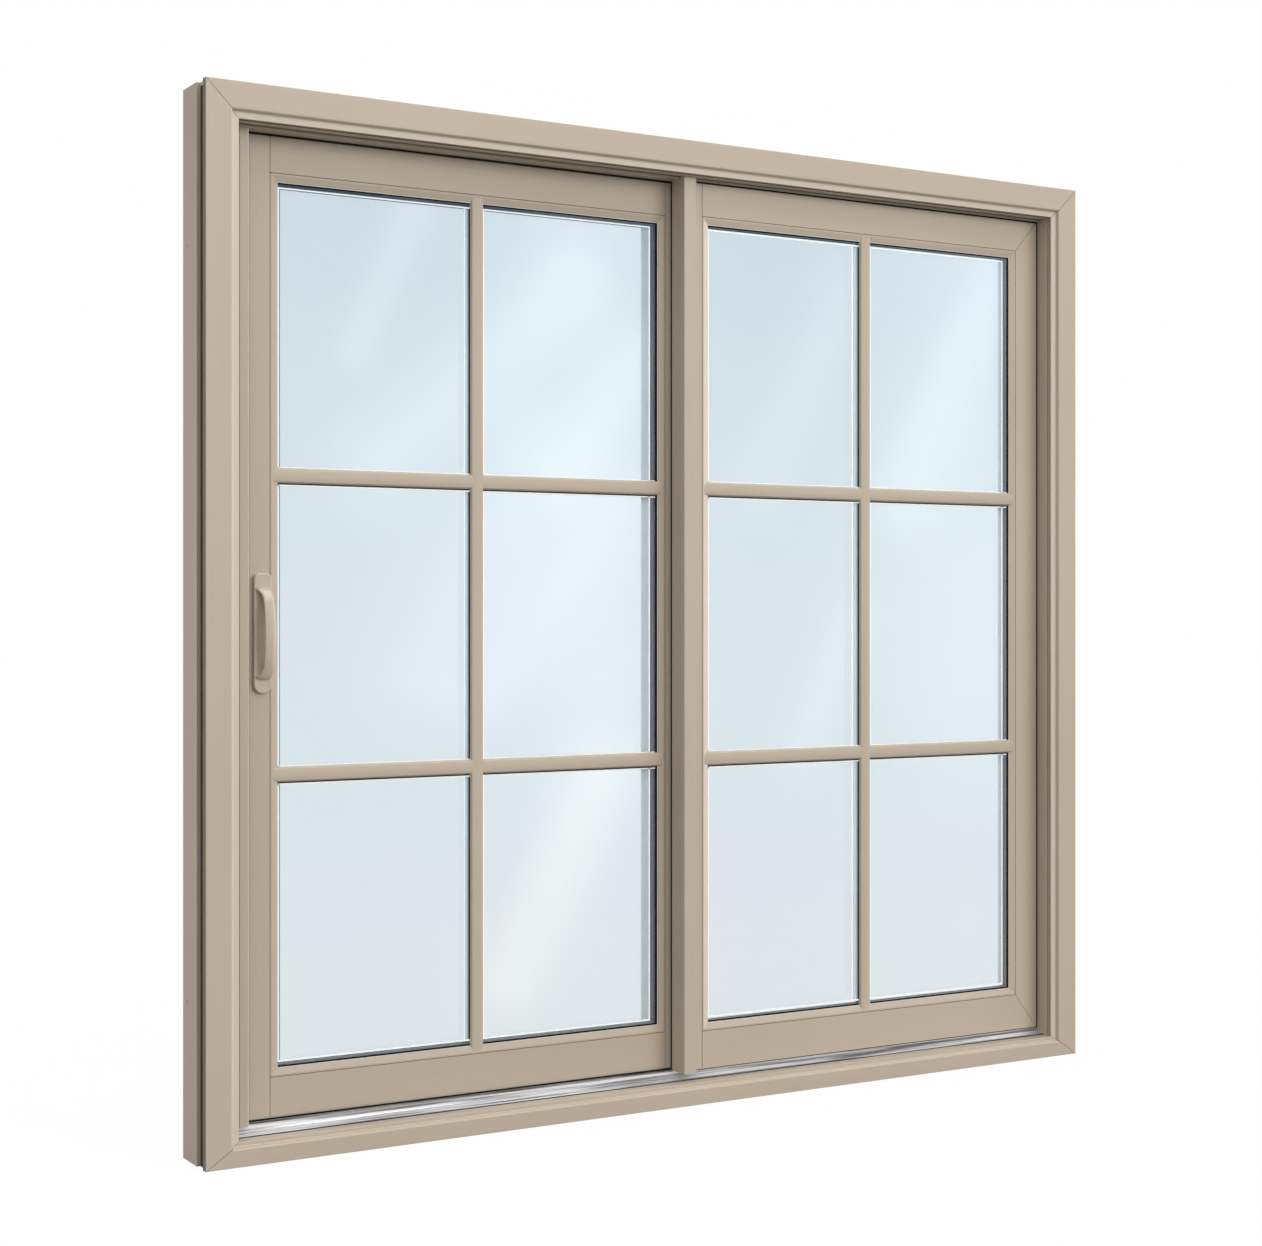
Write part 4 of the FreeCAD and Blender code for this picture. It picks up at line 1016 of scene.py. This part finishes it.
# Floor and light
FLOOR_REACH = 40.0
FLOOR_GLOW = 0.94
FLOOR_ALBEDO = (0.25, 0.25, 0.25, 1)
SKY_LEVEL = 0.57
KEY_FROM = (0.48, -0.86, 0.17)
KEY_POWER = 1.36
KEY_SOFTNESS = math.radians(34)
FILL_FROM = (-0.37, -0.92, 0.10)
FILL_POWER = 0.33
FILL_SOFTNESS = math.radians(40)
BOX_PLACE = (0.0, -2.6, 2.6)
BOX_FROM = (0.0, -2.6, 1.1)
BOX_SIZE = (3.0, 0.9)
BOX_POWER = 9.5
TOP_FROM = (0.10, -0.36, 0.93)
TOP_POWER = 1.0
TOP_SOFTNESS = math.radians(60)
SIDE_PLACE = (-2.0, 0.03, 1.0)
SIDE_FROM = (-1, 0, 0)
SIDE_SIZE = (0.12, 2.4)
SIDE_POWER = 4.1
BACK_FROM = (-0.35, 0.88, 0.32)
BACK_POWER = 1.0
BACK_SOFTNESS = math.radians(60)

# What mirrors see: colours by height over the horizon, bright bands and soft boxes. Places are slopes to the
# right and up per unit out from the door.
SKY_HIGH = (0.10, 0.36, 0.60, 1)
SKY_LOW = (0.74, 0.85, 0.92, 1)
SKY_BACK = (0.92, 0.93, 0.94, 1)
GROUND = (1.00, 0.88, 0.74, 1)
SKY_RISE = (0.0, 0.25)
SKY_FADE = (0.32, 0.80)
GROUND_FALL = (-0.02, -0.24)
MIRROR_EDGE = (0.02, 0.25)
LEAST_AHEAD = 0.05
BANDS = [(0.57, 0.055, 0.60), (0.83, 0.085, 0.55)]
BAND_FALL = (-0.02, -0.16)
BAND_LOSS = 0.7
SOFT_BOXES = [
    ((0.466, 0.204), (0.433, 0.131), 0.012, 0.45),
    ((0.555, 0.175), (0.447, 0.077), 0.026, 0.60),
    ((0.598, 0.138), (0.552, 0.070), 0.018, 0.45),
    ((0.530, 0.080), (0.470, -0.030), 0.032, 0.45),
    ((0.583, 0.055), (0.505, -0.042), 0.020, 0.35),
    ((0.731, 0.178), (0.676, 0.074), 0.020, 0.35),
    ((0.844, 0.198), (0.777, 0.071), 0.024, 0.50),
    ((0.738, -0.004), (0.703, -0.077), 0.018, 0.35),
]
WARM_BOXES = [((0.574, -0.086), (0.520, -0.190), 0.020, 0.75)]
WARM = (1.0, 0.78, 0.50)

# What satin surfaces see: an even level in front, one behind that grows from left to right, and three bright
# boxes, far to the right, round the eye and high in front. Places are parts of the ray's direction.
SHEEN_FRONT = 0.45
SHEEN_LEFT = 0.22
SHEEN_RIGHT = 0.80
SHEEN_EDGE = (-0.10, 0.10)
SHEEN_ACROSS = (-0.2, 0.6)
RIGHT_BOX = 7.0
RIGHT_BOX_ACROSS = (0.80, 0.92)
RIGHT_BOX_START = (0.0, 0.12)
RIGHT_BOX_END = (0.25, 0.45)
RIGHT_BOX_UP = (0.1, 0.45)
NEAR_BOX = 3.0
NEAR_BOX_ACROSS = (-0.50, 0.16)
NEAR_BOX_AHEAD = (0.5, 0.7)
NEAR_BOX_UP = (0.2, 0.35)
HIGH_BOX = 3.0
HIGH_BOX_AHEAD = (0.05, 0.30)
HIGH_BOX_UP = (0.45, 0.70)


def eye_rays(start):
    """The kinds of a ray, and 1 for one that the eye sends, straight or through glass."""
    rays = start.node("LightPath", output="Is Camera Ray")
    return rays, (rays + rays.output("Is Transmission Ray")).clamped()


def ray_way(start):
    """Parts of a ray's direction: to the right, out from the door and up."""
    way = start.node("SeparateXYZ", {}, {0: start.node("TexCoord", output="Generated")})
    return way.output("X"), 0 - way.output("Y"), way.output("Z")


def add_floor():
    """Pale floor: white to the eye with the door's shadow on it, a plain diffuse floor to the light, and open
    to mirrors, which see the sky's own ground."""
    material, start = new_finish("floor")
    rays, seen = eye_rays(start)
    matt = start.node("BsdfDiffuse", {}, {"Color": seen.colours(FLOOR_ALBEDO, WHITE)})
    glow = start.node("Emission", {}, {"Color": WHITE, "Strength": 1.0})
    clear = start.node("BsdfTransparent", {}, {"Color": WHITE})
    pale = (seen * FLOOR_GLOW).shaders(matt, glow)
    start.node("OutputMaterial", {}, {"Surface": rays.output("Is Glossy Ray").shaders(pale, clear)})
    mesh = bpy.data.meshes.new("floor")
    corners = np.array([(-1, -1, 0), (1, -1, 0), (1, 1, 0), (-1, 1, 0)]) * FLOOR_REACH
    mesh.from_pydata(corners.tolist(), [], [(0, 1, 2, 3)])
    mesh.materials.append(material)
    floor = bpy.data.objects.new("floor", mesh)
    scene.collection.objects.link(floor)


def satin_sky(start):
    """Level of the sky in satin surfaces: the even levels and three boxes, each a product of soft limits."""
    across, ahead, up = ray_way(start)
    even = ahead.between(*SHEEN_EDGE)
    behind = across.between(*SHEEN_ACROSS) * (SHEEN_RIGHT - SHEEN_LEFT) + SHEEN_LEFT
    level = even * SHEEN_FRONT + (1 - even) * behind
    grazing = ahead.between(*RIGHT_BOX_START) * (1 - ahead.between(*RIGHT_BOX_END))
    right = across.between(*RIGHT_BOX_ACROSS) * grazing * up.bell(*RIGHT_BOX_UP)
    near = across.bell(*NEAR_BOX_ACROSS) * ahead.between(*NEAR_BOX_AHEAD) * up.bell(*NEAR_BOX_UP)
    high = up.between(*HIGH_BOX_UP) * ahead.between(*HIGH_BOX_AHEAD)
    return level + right * RIGHT_BOX + near * NEAR_BOX + high * HIGH_BOX


def box_light(right, up, boxes):
    """Sum of soft boxes: each falls off as a bell about the line from one place to another."""
    light = 0
    for (right_0, up_0), (right_1, up_1), width, level in boxes:
        run = (right_1 - right_0, up_1 - up_0)
        length = run[0] ** 2 + run[1] ** 2
        share = ((right - right_0) * (run[0] / length) + (up - up_0) * (run[1] / length)).clamped()
        aside = (right - right_0 - share * run[0]) ** 2.0 + (up - up_0 - share * run[1]) ** 2.0
        light = aside.math("EXPONENT", aside * (-1 / width ** 2)) * level + light
    return light


def mirrored_sky(start):
    """Colour of the sky in mirrors, from the way that the mirrored ray goes."""
    across, ahead, rise = ray_way(start)
    out = ahead.math("MAXIMUM", ahead, LEAST_AHEAD)
    right = across / out
    up = rise / out
    bands = 0
    for middle, half_width, level in BANDS:
        bands = right.bell(middle, half_width) * level + bands
    light = bands * (1 - up.between(*BAND_FALL) * BAND_LOSS) + box_light(right, up, SOFT_BOXES)
    warm = box_light(right, up, WARM_BOXES)
    sky = up.between(*SKY_RISE).colours(SKY_LOW, SKY_HIGH)
    sky = up.between(*SKY_FADE).colours(sky, SKY_BACK)
    sky = up.between(*GROUND_FALL).colours(sky, GROUND)
    glow = start.node("CombineXYZ", {}, {axis: light + warm * WARM[axis] for axis in range(3)})
    lit = start.node("VectorMath", {"operation": "ADD"}, {0: sky, 1: glow})
    return ahead.between(*MIRROR_EDGE).colours(SKY_BACK, lit)


def add_sky():
    """White to the eye, an even soft level to the light, and soft boxes over a pale gradient to mirrors."""
    world = bpy.data.worlds.new("studio")
    scene.world = world
    world.use_nodes = True
    world.node_tree.nodes.clear()
    start = Wire(world.node_tree)
    rays, seen = eye_rays(start)
    even = start.node("Background", {}, {"Color": WHITE, "Strength": SKY_LEVEL})
    mirrored = start.node("Background", {}, {"Color": mirrored_sky(start), "Strength": 1.0})
    satin = start.node("Background", {}, {"Color": WHITE, "Strength": satin_sky(start)})
    white = start.node("Background", {}, {"Color": WHITE, "Strength": 1.0})
    gloss = rays.output("Is Singular Ray").shaders(satin, mirrored)
    light = rays.output("Is Glossy Ray").shaders(even, gloss)
    start.node("OutputWorld", {}, {"Surface": seen.shaders(light, white)})


def add_lamp(name, kind, settings, out):
    """Lamp that shines against the direction out and is never seen itself."""
    data = bpy.data.lights.new(name, kind)
    for setting, value in settings.items():
        setattr(data, setting, value)
    lamp = bpy.data.objects.new(name, data)
    lamp.rotation_mode = "QUATERNION"
    lamp.rotation_quaternion = Vector(out).to_track_quat("Z", "Y")
    lamp.visible_camera = False
    lamp.visible_glossy = False
    lamp.visible_transmission = False
    scene.collection.objects.link(lamp)
    return lamp


def add_sun(name, power, softness, out):
    """Lamp far away in the direction out."""
    add_lamp(name, "SUN", {"energy": power, "angle": softness}, out)


def add_box(name, power, size, place, out):
    """Rectangular soft box at a place, shining against the direction out."""
    settings = {"energy": power, "shape": "RECTANGLE", "size": size[0], "size_y": size[1]}
    add_lamp(name, "AREA", settings, out).location = place


def add_lights():
    """Soft key from the right, fill from the left, a box high in front, light from above and from behind, and
    a strip box beside the left jamb."""
    add_sun("key_light", KEY_POWER, KEY_SOFTNESS, KEY_FROM)
    add_sun("fill_light", FILL_POWER, FILL_SOFTNESS, FILL_FROM)
    add_box("front_box", BOX_POWER, BOX_SIZE, BOX_PLACE, BOX_FROM)
    add_sun("top_light", TOP_POWER, TOP_SOFTNESS, TOP_FROM)
    add_sun("back_light", BACK_POWER, BACK_SOFTNESS, BACK_FROM)
    add_box("side_light", SIDE_POWER, SIDE_SIZE, SIDE_PLACE, SIDE_FROM)


def add_camera():
    """Level camera; the shift puts the horizon where the photograph has it."""
    data = bpy.data.cameras.new("photo_camera")
    data.lens = CAMERA_LENS
    data.sensor_width = SENSOR_WIDTH
    data.shift_y = -HORIZON_RISE / PHOTO_WIDTH
    camera = bpy.data.objects.new("photo_camera", data)
    camera.location = CAMERA_PLACE
    camera.rotation_euler = (math.pi / 2, 0, -CAMERA_HEADING)
    scene.collection.objects.link(camera)
    scene.camera = camera


LEVEL_WORDS = ("head", "sill", "rail", "cross", "bead_top", "bead_bottom")
CASINGS = ("head_casing", "left_casing", "right_casing")
SLOT_FINISHES = {"track": "track", "glass": "glass", "spacer": "spacer", "handle": "handle",
                 "lock_metal": "steel", "roller": "nylon"}


def finish_nodes():
    """Finish of every solid, from its material slot; cladding follows the way that the piece runs."""
    slots = {part["node"]: part["material_slot"] for part in frame["record"]["subparts"]}
    for name, node in frame["nodes"].items():
        level = any(word in name for word in LEVEL_WORDS)
        # a casing takes the finish with the painted highlight and the painted shade
        family = "casing_" if name in CASINGS else ""
        # the sliding panel and the jamb cover take the darker copy: painted shade
        if name.startswith("sliding_") or name == "jamb_cover":
            family = "slide_"
        cladding = family + ("level" if level else "upright")
        finish = SLOT_FINISHES.get(slots[name], cladding)
        node.data.materials.clear()
        node.data.materials.append(FINISHES[finish])


scene.view_settings.view_transform = "Standard"
add_camera()
add_floor()
add_sky()
add_lights()
finish_nodes()
for panel_prefix, panel_body in PANELS.items():
    glazing_trim(panel_prefix, panel_body)
    bead_seams(panel_prefix, panel_body)
panel_joints("sliding_", "sliding_panel", ("left", "right"))
panel_joints("fixed_", "frame", ("left",))
casing_seams()
fixed_corner_seams()
reveal_shade_lines()
jamb_cover_trim()
groove_shade_liners()
gap_seals()
pull_handle("outside_pull", "exterior_handle", "sliding_panel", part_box("sliding_lock_stile")[0].y, -1)
pull_handle("inside_pull", "interior_handle", "sliding_panel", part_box("sliding_lock_stile")[1].y, 1)
screws()
